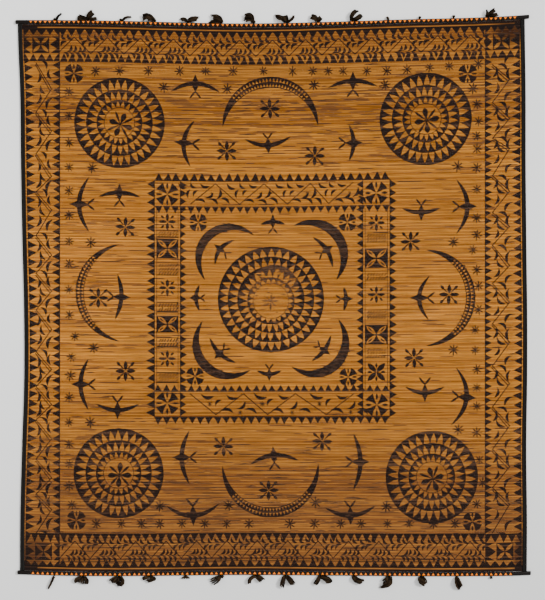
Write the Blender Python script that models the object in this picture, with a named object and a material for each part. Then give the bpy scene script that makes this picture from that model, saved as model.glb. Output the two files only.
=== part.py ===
"""A split-rattan floor mat, laid flat: a sheet of threaded slats, a cane rod along its top and bottom edges,
a ridged binding down each side, and dark fibre tufts where the threads leave the rods.

The mat's long way runs along Y and its slats along X. It rests on Z = 0, under the middle of its outline.
"""

import math
from collections import namedtuple

import bmesh
import bpy
import numpy as np
from mathutils import Vector

MM = 0.001
GAP = 0.3 * MM

SLAT_THICKNESS = 3.0 * MM
ROD_WIDTH = 14.4 * MM
ROD_HEIGHT = 9.0 * MM
ROD_FLAT = 9.0 * MM
BINDING_WIDTH = 15.3 * MM
BINDING_HEIGHT = 6.5 * MM
BINDING_VALLEY = 4.2 * MM
HEAD_RADIUS_LEAST = 3.0 * MM
HEAD_RADIUS_EACH = 0.6 * MM
HEAD_HEIGHT = 3.6 * MM
HEAD_ARC_STEP = math.radians(28)
FACET_WIDTH = 1.8 * MM
FACET_STEP = math.radians(24)
FACET_LOWEST = math.radians(16)
STRAND_FILL = 0.74
STRAND_LONE_WIDTH = 3.0 * MM
STRAND_WIDEST = 3.8 * MM
STRAND_TIP_SHARE = 0.62
STRAND_TIP_HEIGHT = 2.2 * MM
STRAND_STEPS = 6
STATION_PITCH = 60 * MM

Station = namedtuple("Station", "along across")

# The outer edge of each side, from bottom to top: along is Y, across is X, in millimetres.
LEFT_SIDE = [
    Station(-995, -909.8),
    Station(-806, -909.4),
    Station(-518, -902.2),
    Station(-302, -895.3),
    Station(-14, -896.0),
    Station(202, -901.4),
    Station(490, -906.8),
    Station(778, -910.4),
    Station(922, -916.6),
    Station(1030, -918.5),
]
RIGHT_SIDE = [
    Station(-995, 913.0),
    Station(-806, 914.0),
    Station(-518, 911.5),
    Station(-302, 914.4),
    Station(-86, 915.1),
    Station(202, 911.9),
    Station(490, 909.4),
    Station(778, 909.0),
    Station(922, 906.8),
    Station(1030, 905.5),
]
# The outer edge of each rod, from left to right: along is X, across is Y, in millimetres.
TOP_ROD = [
    Station(-926, 1007.3),
    Station(-752, 1006.9),
    Station(-493, 1003.0),
    Station(-364, 999.4),
    Station(-148, 995.0),
    Station(-18, 995.4),
    Station(241, 1001.9),
    Station(500, 1010.2),
    Station(716, 1015.6),
    Station(846, 1021.0),
    Station(921, 1026.4),
]
BOTTOM_ROD = [
    Station(-919, -987.1),
    Station(-752, -991.8),
    Station(-18, -989.3),
    Station(241, -991.8),
    Station(716, -993.6),
    Station(889, -991.4),
    Station(927, -989.6),
]

Lock = namedtuple("Lock", "bend_x bend_out tip_x tip_out strands tip_width")
Tuft = namedtuple("Tuft", "name root locks")

# Each lock of strands leaves its tuft's head towards its bend and ends at its tip. Places are in millimetres,
# along the rod from the head (x) and away from the rod (out). Locks are listed from left to right.
TOP_TUFTS = [
    Tuft("top_01", -779, [Lock(-7, 2, -11, 5, 1, 0), Lock(5, 12, 23, 26, 1, 0)]),
    Tuft(
        "top_02",
        -667,
        [Lock(-24, 5, -37, 12, 3, 12), Lock(4, 16, 24, 31, 5, 20), Lock(20, 4, 39, 8, 1, 0)],
    ),
    Tuft("top_03", -542, [Lock(-6, 3, -10, 6, 1, 0), Lock(12, 15, 37, 13, 1, 0)]),
    Tuft("top_04", -427, [Lock(-24, 27, -47, 8, 4, 12)]),
    Tuft("top_05", -306, [Lock(-14, 17, -28, 7, 3, 6), Lock(10, 14, 39, 14, 4, 11)]),
    Tuft("top_06", -188, [Lock(-22, 3, -44, 4, 1, 0), Lock(0, 22, -38, 20, 5, 13)]),
    Tuft("top_07", -70, [Lock(-4, 40, -40, 16, 5, 13)]),
    Tuft("top_08", 50, [Lock(-8, 24, -42, 23, 4, 14), Lock(30, 16, 20, 27, 2, 4)]),
    Tuft("top_09", 162, [Lock(-3, 20, -30, 20, 4, 12), Lock(14, 9, 19, 14, 2, 4)]),
    Tuft("top_10", 286, [Lock(-7, 24, 22, 40, 4, 10), Lock(30, 6, 33, 22, 2, 5)]),
    Tuft("top_11", 417, [Lock(-4, 6, -9, 11, 1, 0)]),
    Tuft("top_12", 528, [Lock(0, 6, 1, 9, 2, 4)]),
    Tuft("top_13", 650, [Lock(0, 6, 0, 10, 2, 4)]),
    Tuft(
        "top_14",
        774,
        [Lock(-2, 14, -6, 28, 1, 0), Lock(7, 12, 30, 27, 4, 11), Lock(18, 5, 40, 8, 2, 5)],
    ),
]
BOTTOM_TUFTS = [
    Tuft("bottom_01", -787, [Lock(-7, 22, -22, 49, 1, 0)]),
    Tuft("bottom_02", -684, [Lock(-26, 10, -22, 24, 3, 8), Lock(22, 22, -4, 29, 2, 4)]),
    Tuft("bottom_03", -554, [Lock(-16, 9, -34, 24, 3, 10), Lock(24, 24, -10, 37, 3, 8)]),
    Tuft("bottom_04", -445, [Lock(-12, 6, -25, 9, 2, 5), Lock(56, 8, -22, 22, 1, 0)]),
    Tuft("bottom_05", -314, [Lock(0, 8, 0, 11, 3, 22)]),
    Tuft("bottom_06", -191, [Lock(-8, 12, -34, 27, 4, 18)]),
    Tuft("bottom_07", -62, [Lock(-30, 14, -20, 36, 3, 6), Lock(16, 10, 27, 24, 3, 11)]),
    Tuft("bottom_08", 45, [Lock(-11, 18, -14, 52, 3, 9), Lock(17, 12, 31, 36, 3, 11)]),
    Tuft("bottom_09", 171, [Lock(-6, 14, -26, 39, 2, 7), Lock(36, 10, 32, 32, 4, 14)]),
    Tuft("bottom_10", 292, [Lock(4, 20, 36, 24, 4, 12)]),
    Tuft("bottom_11", 418, [Lock(12, 32, -36, 32, 4, 13)]),
    Tuft("bottom_12", 532, [Lock(-8, 18, 25, 31, 4, 9)]),
    Tuft("bottom_13", 661, [Lock(1, 22, 16, 46, 4, 14)]),
    Tuft("bottom_14", 785, [Lock(0, 6, 0, 9, 2, 4)]),
]

RATTAN = {"name": "rattan", "colour": (0.46, 0.20, 0.045), "roughness": 0.5}
DARK_CANE = {"name": "dark_cane", "colour": (0.018, 0.014, 0.012), "roughness": 0.45}
BINDING = {"name": "binding_cord", "colour": (0.012, 0.011, 0.011), "roughness": 0.75}
FIBRE = {"name": "tuft_fibre", "colour": (0.030, 0.019, 0.012), "roughness": 0.8}


def clear_scene():
    for obj in list(bpy.data.objects):
        bpy.data.objects.remove(obj, do_unlink=True)


def make_material(look):
    material = bpy.data.materials.new(look["name"])
    material.use_nodes = True
    shader = material.node_tree.nodes["Principled BSDF"]
    shader.inputs["Base Color"].default_value = (*look["colour"], 1)
    shader.inputs["Roughness"].default_value = look["roughness"]
    shader.inputs["Metallic"].default_value = 0
    return material


def add_object(name, mesh_data, material, parent):
    bmesh.ops.recalc_face_normals(mesh_data, faces=mesh_data.faces[:])
    mesh = bpy.data.meshes.new(name)
    mesh_data.to_mesh(mesh)
    mesh_data.free()
    mesh.shade_smooth()
    mesh.set_sharp_from_angle(angle=math.radians(35))
    mesh.materials.append(material)
    obj = bpy.data.objects.new(name, mesh)
    obj.parent = parent
    bpy.context.scene.collection.objects.link(obj)
    return obj


def smooth_through(stations, at):
    """A smooth curve through the stations, as a cubic between each two with the mean slope at each."""
    along = np.array([station.along for station in stations]) * MM
    across = np.array([station.across for station in stations]) * MM
    slopes = np.gradient(across, along)
    left = np.clip(np.searchsorted(along, at) - 1, 0, len(along) - 2)
    length = along[left + 1] - along[left]
    t = (at - along[left]) / length
    rise = across[left + 1] - across[left]
    curve = rise * t * t * (3 - 2 * t)
    start = slopes[left] * length * t * (1 - t) ** 2
    end = -slopes[left + 1] * length * t * t * (1 - t)
    return across[left] + curve + start + end


def edge_points(stations):
    """Evenly spaced places along an edge and the edge's distance there."""
    first = stations[0].along * MM
    last = stations[-1].along * MM
    count = round((last - first) / STATION_PITCH)
    along = np.linspace(first, last, count + 1)
    return along, smooth_through(stations, along)


class Edge:
    """An edge as straight runs between its points, so that neighbours follow the same line."""

    def __init__(self, stations):
        self.along, self.across = edge_points(stations)

    def at(self, place):
        return float(np.interp(place, self.along, self.across))

    def slope(self, place):
        step = 5 * MM
        return (self.at(place + step) - self.at(place - step)) / (2 * step)

    def between(self, low, high):
        """The places of the edge's own points that lie well inside a stretch."""
        return [place for place in self.along if low + 5 * MM < place < high - 5 * MM]


def rod_section():
    """Points (inward, up) round a cane rod that is flattened underneath, from its outer side."""
    half = ROD_WIDTH / 2
    side = 0.42 * ROD_HEIGHT
    points = [(half - ROD_FLAT / 2, 0), (0.7 * MM, 0.16 * ROD_HEIGHT), (0, side - 0.8 * MM), (0, side)]
    for turn in range(1, 6):
        angle = math.pi * turn / 6
        across = half - half * math.cos(angle)
        points.append((across, side + (ROD_HEIGHT - side) * math.sin(angle)))
    mirrored = [(ROD_WIDTH - across, up) for across, up in reversed(points[:4])]
    return points + mirrored


def binding_section():
    """Points (inward, up) round a side binding with two rounded ridges, from its outer side."""
    middle = BINDING_WIDTH / 2
    ridge = middle / 2
    return [
        (0.8 * MM, 0),
        (0, 1.2 * MM),
        (0, 0.62 * BINDING_HEIGHT),
        (0.35 * ridge, 0.9 * BINDING_HEIGHT),
        (ridge, BINDING_HEIGHT),
        (1.65 * ridge, 0.88 * BINDING_HEIGHT),
        (middle, BINDING_VALLEY),
        (middle + 0.35 * ridge, 0.88 * BINDING_HEIGHT),
        (middle + ridge, 0.96 * BINDING_HEIGHT),
        (middle + 1.65 * ridge, 0.84 * BINDING_HEIGHT),
        (BINDING_WIDTH, 0.56 * BINDING_HEIGHT),
        (BINDING_WIDTH, 0),
    ]


def loft(rings):
    """A closed body through rings of points, each with the same number of points, capped at both ends."""
    mesh_data = bmesh.new()
    loops = [[mesh_data.verts.new(point) for point in ring] for ring in rings]
    for here, ahead in zip(loops, loops[1:]):
        for side in range(len(here)):
            nearby = (side + 1) % len(here)
            mesh_data.faces.new((here[side], here[nearby], ahead[nearby], ahead[side]))
    mesh_data.faces.new(list(reversed(loops[0])))
    mesh_data.faces.new(loops[-1])
    return mesh_data


def rod_mesh(edge, inward):
    """A rod along its edge. inward is -1 for the top rod and 1 for the bottom one."""
    section = rod_section()
    end_inset = 1.6 * MM
    end_shrink = 0.72
    rings = []
    for place in edge.along:
        shrink = 1
        if place in (edge.along[0], edge.along[-1]):
            shrink = end_shrink
        middle = ROD_WIDTH / 2
        ring = []
        for across, up in section:
            near = middle + (across - middle) * shrink
            ring.append((place, edge.at(place) + inward * near, up * shrink))
        rings.append(ring)
    for index, place in ((1, edge.along[0] + end_inset), (-1, edge.along[-1] - end_inset)):
        ring = [(place, edge.at(place) + inward * across, up) for across, up in section]
        rings.insert(index, ring)
    return loft(rings)


def rod_inner(edge, inward, place):
    """The line inside a rod, clear of it by the gap, that the binding and the slats end at."""
    return edge.at(place) + inward * (ROD_WIDTH + GAP)


def binding_mesh(side, inward, top_rod, bottom_rod):
    """A binding between the rods. inward is 1 for the left side and -1 for the right one."""
    section = binding_section()
    rings = []
    low = rod_inner(bottom_rod, 1, side.at(side.along[0]))
    high = rod_inner(top_rod, -1, side.at(side.along[-1]))
    for place in [low, *side.between(low, high), high]:
        ring = []
        for across, up in section:
            x = side.at(place) + inward * across
            y = place
            if place == low:
                y = rod_inner(bottom_rod, 1, x)
            if place == high:
                y = rod_inner(top_rod, -1, x)
            ring.append((x, y, up))
        rings.append(ring)
    return loft(rings)


def field_outline(left, right, top_rod, bottom_rod):
    """The slat field's outline in order, following the bindings and the rods round it."""
    inset = BINDING_WIDTH + GAP

    def left_x(y):
        return left.at(y) + inset

    def right_x(y):
        return right.at(y) - inset

    def corner(side_x, rod, inward):
        x = side_x(rod.across[0])
        y = rod_inner(rod, inward, x)
        return side_x(y), y

    bottom_left = corner(left_x, bottom_rod, 1)
    bottom_right = corner(right_x, bottom_rod, 1)
    top_left = corner(left_x, top_rod, -1)
    top_right = corner(right_x, top_rod, -1)
    outline = [bottom_left]
    outline += [(x, rod_inner(bottom_rod, 1, x)) for x in bottom_rod.between(bottom_left[0], bottom_right[0])]
    outline.append(bottom_right)
    outline += [(right_x(y), y) for y in right.between(bottom_right[1], top_right[1])]
    outline.append(top_right)
    outline += [(x, rod_inner(top_rod, -1, x)) for x in reversed(top_rod.between(top_left[0], top_right[0]))]
    outline.append(top_left)
    outline += [(left_x(y), y) for y in reversed(left.between(bottom_left[1], top_left[1]))]
    return outline


def field_mesh(outline):
    return loft([[(x, y, 0) for x, y in outline], [(x, y, SLAT_THICKNESS) for x, y in outline]])


def head_radius(locks):
    count = sum(lock.strands for lock in locks)
    return HEAD_RADIUS_LEAST + HEAD_RADIUS_EACH * count


def on_head(angle, radius):
    return Vector((math.cos(angle), math.sin(angle))) * radius


def arc_between(first, last, radius):
    """Places round the head's front, strictly between two angles, from the left one to the right one."""
    count = math.ceil((first - last) / HEAD_ARC_STEP)
    return [on_head(first + (last - first) * step / count, radius) for step in range(1, count)]


def strand_width(lock):
    """What a strand can be wide and still stand apart from the next one in its lock."""
    if lock.strands == 1:
        return STRAND_LONE_WIDTH
    pitch_at_tip = lock.tip_width * MM / (lock.strands - 1)
    pitch = 0.75 * pitch_at_tip + 0.25 * FACET_WIDTH
    return min(STRAND_FILL * pitch, STRAND_WIDEST)


def strand_bend_and_tip(lock, index):
    """A strand's own bend and tip, set beside its neighbours in the lock."""
    share = 0
    if lock.strands > 1:
        share = 0.5 - index / (lock.strands - 1)
    bend = Vector((lock.bend_x, lock.bend_out)) * MM
    tip = Vector((lock.tip_x, lock.tip_out)) * MM
    leftward_at_bend = Vector((-tip.y, tip.x)).normalized()
    heading = tip - bend
    leftward_at_tip = Vector((-heading.y, heading.x)).normalized()
    bend = bend + leftward_at_bend * share * lock.tip_width * MM
    tip = tip + leftward_at_tip * share * lock.tip_width * MM
    return bend, tip


def facet_angles(locks):
    """The directions in which the strands leave the head, from left to right."""
    count = sum(lock.strands for lock in locks)
    first = math.atan2(locks[0].bend_out, locks[0].bend_x)
    last = math.atan2(locks[-1].bend_out, locks[-1].bend_x)
    middle = (first + last) / 2
    span = max(first - last, (count - 1) * FACET_STEP)
    span = min(span, math.pi - 2 * FACET_LOWEST)
    middle = min(max(middle, FACET_LOWEST + span / 2), math.pi - FACET_LOWEST - span / 2)
    if count == 1:
        return [middle]
    return [middle + span / 2 - span * index / (count - 1) for index in range(count)]


def strand_sections(start, lock, index):
    """The strand's sections after its root, each as left and right places in plan with a height."""
    bend, tip = strand_bend_and_tip(lock, index)
    full_width = strand_width(lock)
    reach = 1 - 0.16 * abs(math.sin(2.7 * index + lock.tip_x))
    sections = []
    for step in range(1, STRAND_STEPS + 1):
        t = reach * step / STRAND_STEPS
        place = start * (1 - t) ** 2 + bend * 2 * t * (1 - t) + tip * t * t
        heading = ((bend - start) * (1 - t) + (tip - bend) * t).normalized()
        leftward = Vector((-heading.y, heading.x))
        share = step / STRAND_STEPS
        width = full_width * (1 - (1 - STRAND_TIP_SHARE) * share)
        height = HEAD_HEIGHT + (STRAND_TIP_HEIGHT - HEAD_HEIGHT) * share
        sections.append((place + leftward * width / 2, place - leftward * width / 2, height))
    return sections


def tuft_mesh(tuft, edge, outward):
    """A half-round head against the rod, with its strands growing from the facets round its front."""
    root = tuft.root * MM
    slope = edge.slope(root)
    base = edge.at(root) + outward * GAP
    mesh_data = bmesh.new()

    def vertex(place, height):
        x = root + place.x
        y = base + outward * place.y + slope * place.x
        return mesh_data.verts.new((x, y, height))

    def post(place, height):
        return vertex(place, 0), vertex(place, height)

    def wall(here, ahead):
        mesh_data.faces.new((here[0], ahead[0], ahead[1], here[1]))

    def go_round(places):
        for place in places:
            outline.append(post(place, HEAD_HEIGHT))
            wall(outline[-2], outline[-1])

    radius = head_radius(tuft.locks)
    half_facet = FACET_WIDTH / 2 / radius
    angles = facet_angles(tuft.locks)
    strands = [(lock, index) for lock in tuft.locks for index in range(lock.strands)]
    outline = [post(on_head(math.pi, radius), HEAD_HEIGHT)]
    go_round(arc_between(math.pi, angles[0] + half_facet, radius))
    for angle, (lock, index) in zip(angles, strands):
        go_round([on_head(angle + half_facet, radius)])
        left = outline[-1]
        right = post(on_head(angle - half_facet, radius), HEAD_HEIGHT)
        outline.append(right)
        for left_place, right_place, height in strand_sections(on_head(angle, radius), lock, index):
            next_left = post(left_place, height)
            next_right = post(right_place, height)
            wall(left, next_left)
            wall(next_right, right)
            mesh_data.faces.new((left[1], next_left[1], next_right[1], right[1]))
            mesh_data.faces.new((left[0], right[0], next_right[0], next_left[0]))
            left, right = next_left, next_right
        wall(left, right)
    go_round([*arc_between(angles[-1] - half_facet, 0, radius), on_head(0, radius)])
    wall(outline[-1], outline[0])
    mesh_data.faces.new([bottom for bottom, _ in outline])
    mesh_data.faces.new([top for _, top in reversed(outline)])
    return mesh_data


def centre_on_origin(mat, objects):
    """Moves the whole mat so that the origin lies under the middle of its box."""
    points = [vertex.co for obj in objects for vertex in obj.data.vertices]
    for axis in (0, 1):
        values = [point[axis] for point in points]
        mat.location[axis] = -(min(values) + max(values)) / 2


def main():
    clear_scene()
    mat = bpy.data.objects.new("mat", None)
    bpy.context.scene.collection.objects.link(mat)
    rattan = make_material(RATTAN)
    dark_cane = make_material(DARK_CANE)
    binding = make_material(BINDING)
    fibre = make_material(FIBRE)

    left = Edge(LEFT_SIDE)
    right = Edge(RIGHT_SIDE)
    top_rod = Edge(TOP_ROD)
    bottom_rod = Edge(BOTTOM_ROD)

    outline = field_outline(left, right, top_rod, bottom_rod)
    objects = [
        add_object("slat_field", field_mesh(outline), rattan, mat),
        add_object("rod_top", rod_mesh(top_rod, -1), dark_cane, mat),
        add_object("rod_bottom", rod_mesh(bottom_rod, 1), dark_cane, mat),
        add_object("binding_left", binding_mesh(left, 1, top_rod, bottom_rod), binding, mat),
        add_object("binding_right", binding_mesh(right, -1, top_rod, bottom_rod), binding, mat),
    ]
    for tuft in TOP_TUFTS:
        objects.append(add_object("tuft_" + tuft.name, tuft_mesh(tuft, top_rod, 1), fibre, mat))
    for tuft in BOTTOM_TUFTS:
        objects.append(add_object("tuft_" + tuft.name, tuft_mesh(tuft, bottom_rod, -1), fibre, mat))
    centre_on_origin(mat, objects)


main()
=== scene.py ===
"""The looks of a split-rattan floor mat: its slats with their dyed figures, its rods, bindings and tufts.

Sizes are in millimetres unless a name says otherwise. X runs along the slats, Y along the threads.
"""

import math
import random
from bisect import bisect_left, bisect_right
from collections import namedtuple

import bpy
import numpy as np
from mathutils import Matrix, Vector


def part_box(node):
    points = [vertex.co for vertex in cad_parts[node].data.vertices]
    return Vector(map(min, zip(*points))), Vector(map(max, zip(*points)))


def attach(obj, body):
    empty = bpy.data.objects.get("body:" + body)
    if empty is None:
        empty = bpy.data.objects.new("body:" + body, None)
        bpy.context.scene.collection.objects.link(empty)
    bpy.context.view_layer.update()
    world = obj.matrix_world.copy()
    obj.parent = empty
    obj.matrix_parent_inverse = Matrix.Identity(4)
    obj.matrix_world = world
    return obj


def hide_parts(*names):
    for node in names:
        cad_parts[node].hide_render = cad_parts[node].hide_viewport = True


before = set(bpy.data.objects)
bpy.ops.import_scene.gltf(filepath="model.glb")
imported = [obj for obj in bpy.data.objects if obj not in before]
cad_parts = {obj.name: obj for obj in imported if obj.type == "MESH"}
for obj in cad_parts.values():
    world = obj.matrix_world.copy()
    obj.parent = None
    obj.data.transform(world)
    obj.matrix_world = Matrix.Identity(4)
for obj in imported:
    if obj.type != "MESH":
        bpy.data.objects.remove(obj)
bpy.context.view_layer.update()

MM = 0.001
# How far the bindings stay from the slats, and the tufts from the rods.
GAP = 0.3

# The view from straight above: its height on the mat and its middle, the camera's lens and its film's width.
VIEW_HEIGHT = 2160
VIEW_MIDDLE = (-2.3, -3.7)
LENS = 85
FILM = 36

SLAT_PITCH = 5.0
SLAT_FILL = 0.96
SLAT_TOP_SHARE = 0.55
SLAT_SIDE_SHARE = 0.66
# A slat's lines are cut at stations this far apart, none of them nearer to its ends than the clearance.
STATION_PITCH = 60
STATION_CLEARANCE = 5
BAND_COUNT = 8
# The shortest mark of dye, the steepest slant of a figure's edge on a slat, and a place beyond the slats'
# ends.
LEAST_MARK = 0.6
STEEPEST = 3.0
BEYOND = 5000

ROD_WIDTH = 14.4
ROD_HEIGHT = 9.0
ROD_FLAT = 9.0
BINDING_WIDTH = 15.3
BINDING_HEIGHT = 6.5
BINDING_VALLEY = 4.2

# What a face of a slat shows: the cane itself, full dye, thin dye, or a dark streak of cane skin.
BARE = 0
DEEP = 1
SOFT = 2
STREAK = 3

# The unevenness of work done by hand.
hand = random.Random(7)


class Loom:
    """The slat field as it lies. A place on it is (x, run), where run is the way along the threads from the
    mat's middle, as if every thread had the mean length."""

    def __init__(self, node):
        points = {(round(vertex.co.x / MM, 2), round(vertex.co.y / MM, 2)) for vertex in node.data.vertices}
        outline = np.array(sorted(points, key=lambda point: math.atan2(point[1], point[0])))
        ways = ((-1, -1), (1, -1), (1, 1), (-1, 1))
        corners = [int(np.argmax(outline @ np.array(way))) for way in ways]
        self.bottom = self.stretch(outline, corners[0], corners[1])
        self.right = self.stretch(outline, corners[1], corners[2])
        self.top = self.stretch(outline, corners[2], corners[3])[::-1]
        self.left = self.stretch(outline, corners[3], corners[0])[::-1]
        self.start = float(self.left[:, 0].min())
        self.end = float(self.right[:, 0].max())
        self.stations = np.linspace(self.start, self.end, round((self.end - self.start) / STATION_PITCH) + 1)
        self.length = float(np.mean(self.high(self.stations) - self.low(self.stations)))

    @staticmethod
    def stretch(outline, first, last):
        if last < first:
            last += len(outline)
        return outline.take(range(first, last + 1), axis=0, mode="wrap")

    def low(self, x):
        return np.interp(x, self.bottom[:, 0], self.bottom[:, 1])

    def high(self, x):
        return np.interp(x, self.top[:, 0], self.top[:, 1])

    def left_at(self, y):
        return np.interp(y, self.left[:, 1], self.left[:, 0])

    def right_at(self, y):
        return np.interp(y, self.right[:, 1], self.right[:, 0])

    def run_of(self, x, y):
        return ((y - self.low(x)) / (self.high(x) - self.low(x)) - 0.5) * self.length

    def y_of(self, x, run):
        return self.low(x) + (run / self.length + 0.5) * (self.high(x) - self.low(x))

    def ends(self, run):
        """Where a slat starts and ends."""
        left = self.left_at(self.y_of(self.start, run))
        right = self.right_at(self.y_of(self.end, run))
        return float(left), float(right)


loom = Loom(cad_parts["slat_field"])


class Dye:
    """Figures on the slats, each an outline in (x, run). A later one covers what it crosses."""

    def __init__(self):
        self.figures = []

    def lay(self, points, tone=DEEP):
        self.figures.append((np.asarray(points, dtype=float), tone))

    def crossings(self, runs):
        """For each row, where the figures' edges cross it: (figure, x, slant)."""
        rows = [[] for run in runs]
        for number, (points, tone) in enumerate(self.figures):
            for (x0, y0), (x1, y1) in zip(points, np.roll(points, -1, axis=0)):
                if y0 > y1:
                    x0, y0, x1, y1 = x1, y1, x0, y0
                first, last = np.searchsorted(runs, (y0, y1))
                if first == last:
                    continue
                slant = (x1 - x0) / (y1 - y0)
                for row in range(first, last):
                    rows[row].append((number, x0 + slant * (runs[row] - y0), slant))
        return rows

    def row_changes(self, crossed):
        """The changes of tone along a row, as (x, slant, tone after), with the figures laid in order."""
        places, slants, tones = [-BEYOND], [0.0], [BARE]
        crossed = sorted(crossed)
        for (number, start, start_slant), (_, end, end_slant) in zip(crossed[::2], crossed[1::2]):
            if end - start < LEAST_MARK:
                continue
            first = bisect_left(places, start)
            last = bisect_right(places, end)
            after = tones[last - 1]
            places[first:last] = [start, end]
            slants[first:last] = [start_slant, end_slant]
            tones[first:last] = [self.figures[number][1], after]
        changes = []
        tone = BARE
        for place, slant, next_tone in zip(places, slants, tones):
            if next_tone == tone:
                continue
            if changes and place - changes[-1][0] < LEAST_MARK:
                changes.pop()
            changes.append((place, max(-STEEPEST, min(STEEPEST, slant)), next_tone))
            tone = next_tone
        return changes


dye = Dye()


def turned(points, centre, degrees=0, size=1):
    angle = math.radians(degrees)
    turn = np.array(((math.cos(angle), math.sin(angle)), (-math.sin(angle), math.cos(angle))))
    return np.asarray(points, dtype=float) @ turn * size + np.asarray(centre)


def on_field(x, y):
    """A place given as it lies on the mat, as (x, run)."""
    return np.array((x, float(loom.run_of(x, y))))


def polar(radius, degrees):
    angle = math.radians(degrees)
    return (radius * math.cos(angle), radius * math.sin(angle))


def disc(radius, sides=48):
    return [polar(radius, 360 * side / sides) for side in range(sides)]


def rectangle(x0, run0, x1, run1):
    return [(x0, run0), (x1, run0), (x1, run1), (x0, run1)]


# Points along each side of a leaf, a curved stroke and a petal.
LEAF_POINTS = 8
COMMA_POINTS = 9
CLUB_POINTS = 10
CLUB_STALK = 1.2


def leaf(start, end, width, fullness=0.8):
    """A pointed leaf along X."""
    t = np.linspace(0, 1, LEAF_POINTS)
    along = start + (end - start) * t
    across = width / 2 * np.sin(math.pi * t) ** fullness
    return np.concatenate([np.c_[along, across], np.c_[along, -across][-2:0:-1]])


def comma(length, width, bend, swell=1.3, fullness=0.7):
    """A curved stroke along X that swells past its middle, its back upward when bend is positive."""
    t = np.linspace(0, 1, COMMA_POINTS)
    along = length * (t - 0.5)
    middle = bend * (4 * t * (1 - t) - 0.6)
    across = width / 2 * np.sin(math.pi * t ** swell) ** fullness
    return np.concatenate([np.c_[along, middle + across], np.c_[along, middle - across][-2:0:-1]])


def club(length, width, swell=1.8, fullness=0.9):
    """A petal along X on a thin stalk, widest past its middle."""
    t = np.linspace(0, 1, CLUB_POINTS)
    across = width / 2 * np.sin(math.pi * t ** swell) ** fullness + CLUB_STALK * (1 - t)
    return np.concatenate([np.c_[length * t, across], np.c_[length * t, -across][::-1]])


def stripe(points, width, tone=DEEP):
    """A line of even width through some points. Each part of it runs on by a third of the width."""
    points = np.asarray(points, dtype=float)
    for here, ahead in zip(points, points[1:]):
        heading = (ahead - here) / np.linalg.norm(ahead - here)
        side = np.array((-heading[1], heading[0])) * width / 2
        reach = heading * width / 3
        dye.lay([here - reach + side, ahead + reach + side, ahead + reach - side, here - reach - side], tone)


def straight(start, end):
    """A path from one place to another."""
    start = np.asarray(start, dtype=float)
    end = np.asarray(end, dtype=float)
    return lambda share: start + (end - start) * share


def beside_end(side, inset, first, last):
    """A path that keeps its distance from the slats' left ends (side -1) or right ends (side 1)."""

    def path(share):
        run = first + (last - first) * share
        return np.array((loom.ends(run)[side > 0] - side * inset, run))

    return path


# A tooth in a row of triangles, in shares of its pitch: how far its foot stands in, half its width half way
# up, and where its tip leans to. Its height varies too.
TOOTH_FOOT = 0.02
TOOTH_WAIST = 0.23
TOOTH_LEAN = (0.42, 0.58)
TOOTH_HEIGHT = (0.88, 1.08)
# A tooth in a ring, in shares of its pitch: half its width at its foot and half way up, and how far it may
# sway. Its tip falls short of the ring by up to a share of its height.
RING_TOOTH_FOOT = 0.44
RING_TOOTH_WAIST = 0.27
RING_TOOTH_SWAY = 0.08
RING_TOOTH_SHORT = 0.06


def teeth(path, count, depth, tone=DEEP):
    """A row of triangles on a path. They point to the left of its way."""
    for tooth in range(count):
        first = path(tooth / count)
        step = path((tooth + 1) / count) - first
        side = np.array((-step[1], step[0])) / np.linalg.norm(step)
        lean = hand.uniform(*TOOTH_LEAN)
        height = side * depth * hand.uniform(*TOOTH_HEIGHT)
        corners = [
            first + step * TOOTH_FOOT,
            first + step * (1 - TOOTH_FOOT),
            first + step * (lean + TOOTH_WAIST) + height * 0.5,
            first + step * lean + height,
            first + step * (lean - TOOTH_WAIST) + height * 0.5,
        ]
        dye.lay(corners, tone)


def ring_teeth(centre, base, tip, count, turn=0):
    """Bare triangles round a ring, pointing outward."""
    pitch = 360 / count
    for tooth in range(count):
        angle = turn + pitch * (tooth + hand.uniform(-RING_TOOTH_SWAY, RING_TOOTH_SWAY))
        reach = tip - (tip - base) * hand.uniform(0, RING_TOOTH_SHORT)
        waist = (base + reach) / 2
        corners = [
            polar(base, angle - pitch * RING_TOOTH_FOOT),
            polar(base, angle + pitch * RING_TOOTH_FOOT),
            polar(waist, angle + pitch * RING_TOOTH_WAIST),
            polar(reach, angle),
            polar(waist, angle - pitch * RING_TOOTH_WAIST),
        ]
        dye.lay(np.array(corners) + centre, BARE)


PETAL_LENGTH = (0.92, 1.05)
PETAL_SWAY = 5


def petals(centre, lengths, widths, turn=0, tone=DEEP):
    """Eight petals round a point, broad and narrow by turns."""
    for side in range(8):
        kind = side % 2
        figure = club(lengths[kind] * hand.uniform(*PETAL_LENGTH), widths[kind])
        dye.lay(turned(figure, centre, turn + 45 * side + hand.uniform(-PETAL_SWAY, PETAL_SWAY)), tone)


# A sliver of thin dye: its length as a share of the longest one, its width, and how far it may tilt.
PATCH_LENGTH = (0.3, 1)
PATCH_WIDTH = (2, 4.5)
PATCH_TILT = 8
BIRD_PATCH = 12
CRESCENT_PATCH = 16
SUN_PATCH = 24


def thin_patches(centre, radius, count, tone=SOFT, longest=SUN_PATCH):
    """Small slivers where the dye has taken badly or worn off."""
    for patch in range(count):
        place = centre + np.array(polar(radius * math.sqrt(hand.random()), hand.uniform(0, 360)))
        length = hand.uniform(*PATCH_LENGTH) * longest
        figure = leaf(-length / 2, length / 2, hand.uniform(*PATCH_WIDTH))
        dye.lay(turned(figure, place, hand.uniform(-PATCH_TILT, PATCH_TILT)), tone)


# A star's rays: their length and width in shares of its radius, the least width, and the disc where they
# meet.
RAY_LENGTH = (0.9, 1.1)
RAY_WIDTH = 0.23
LEAST_RAY_WIDTH = 2.6
STAR_HEART = 0.22


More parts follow.
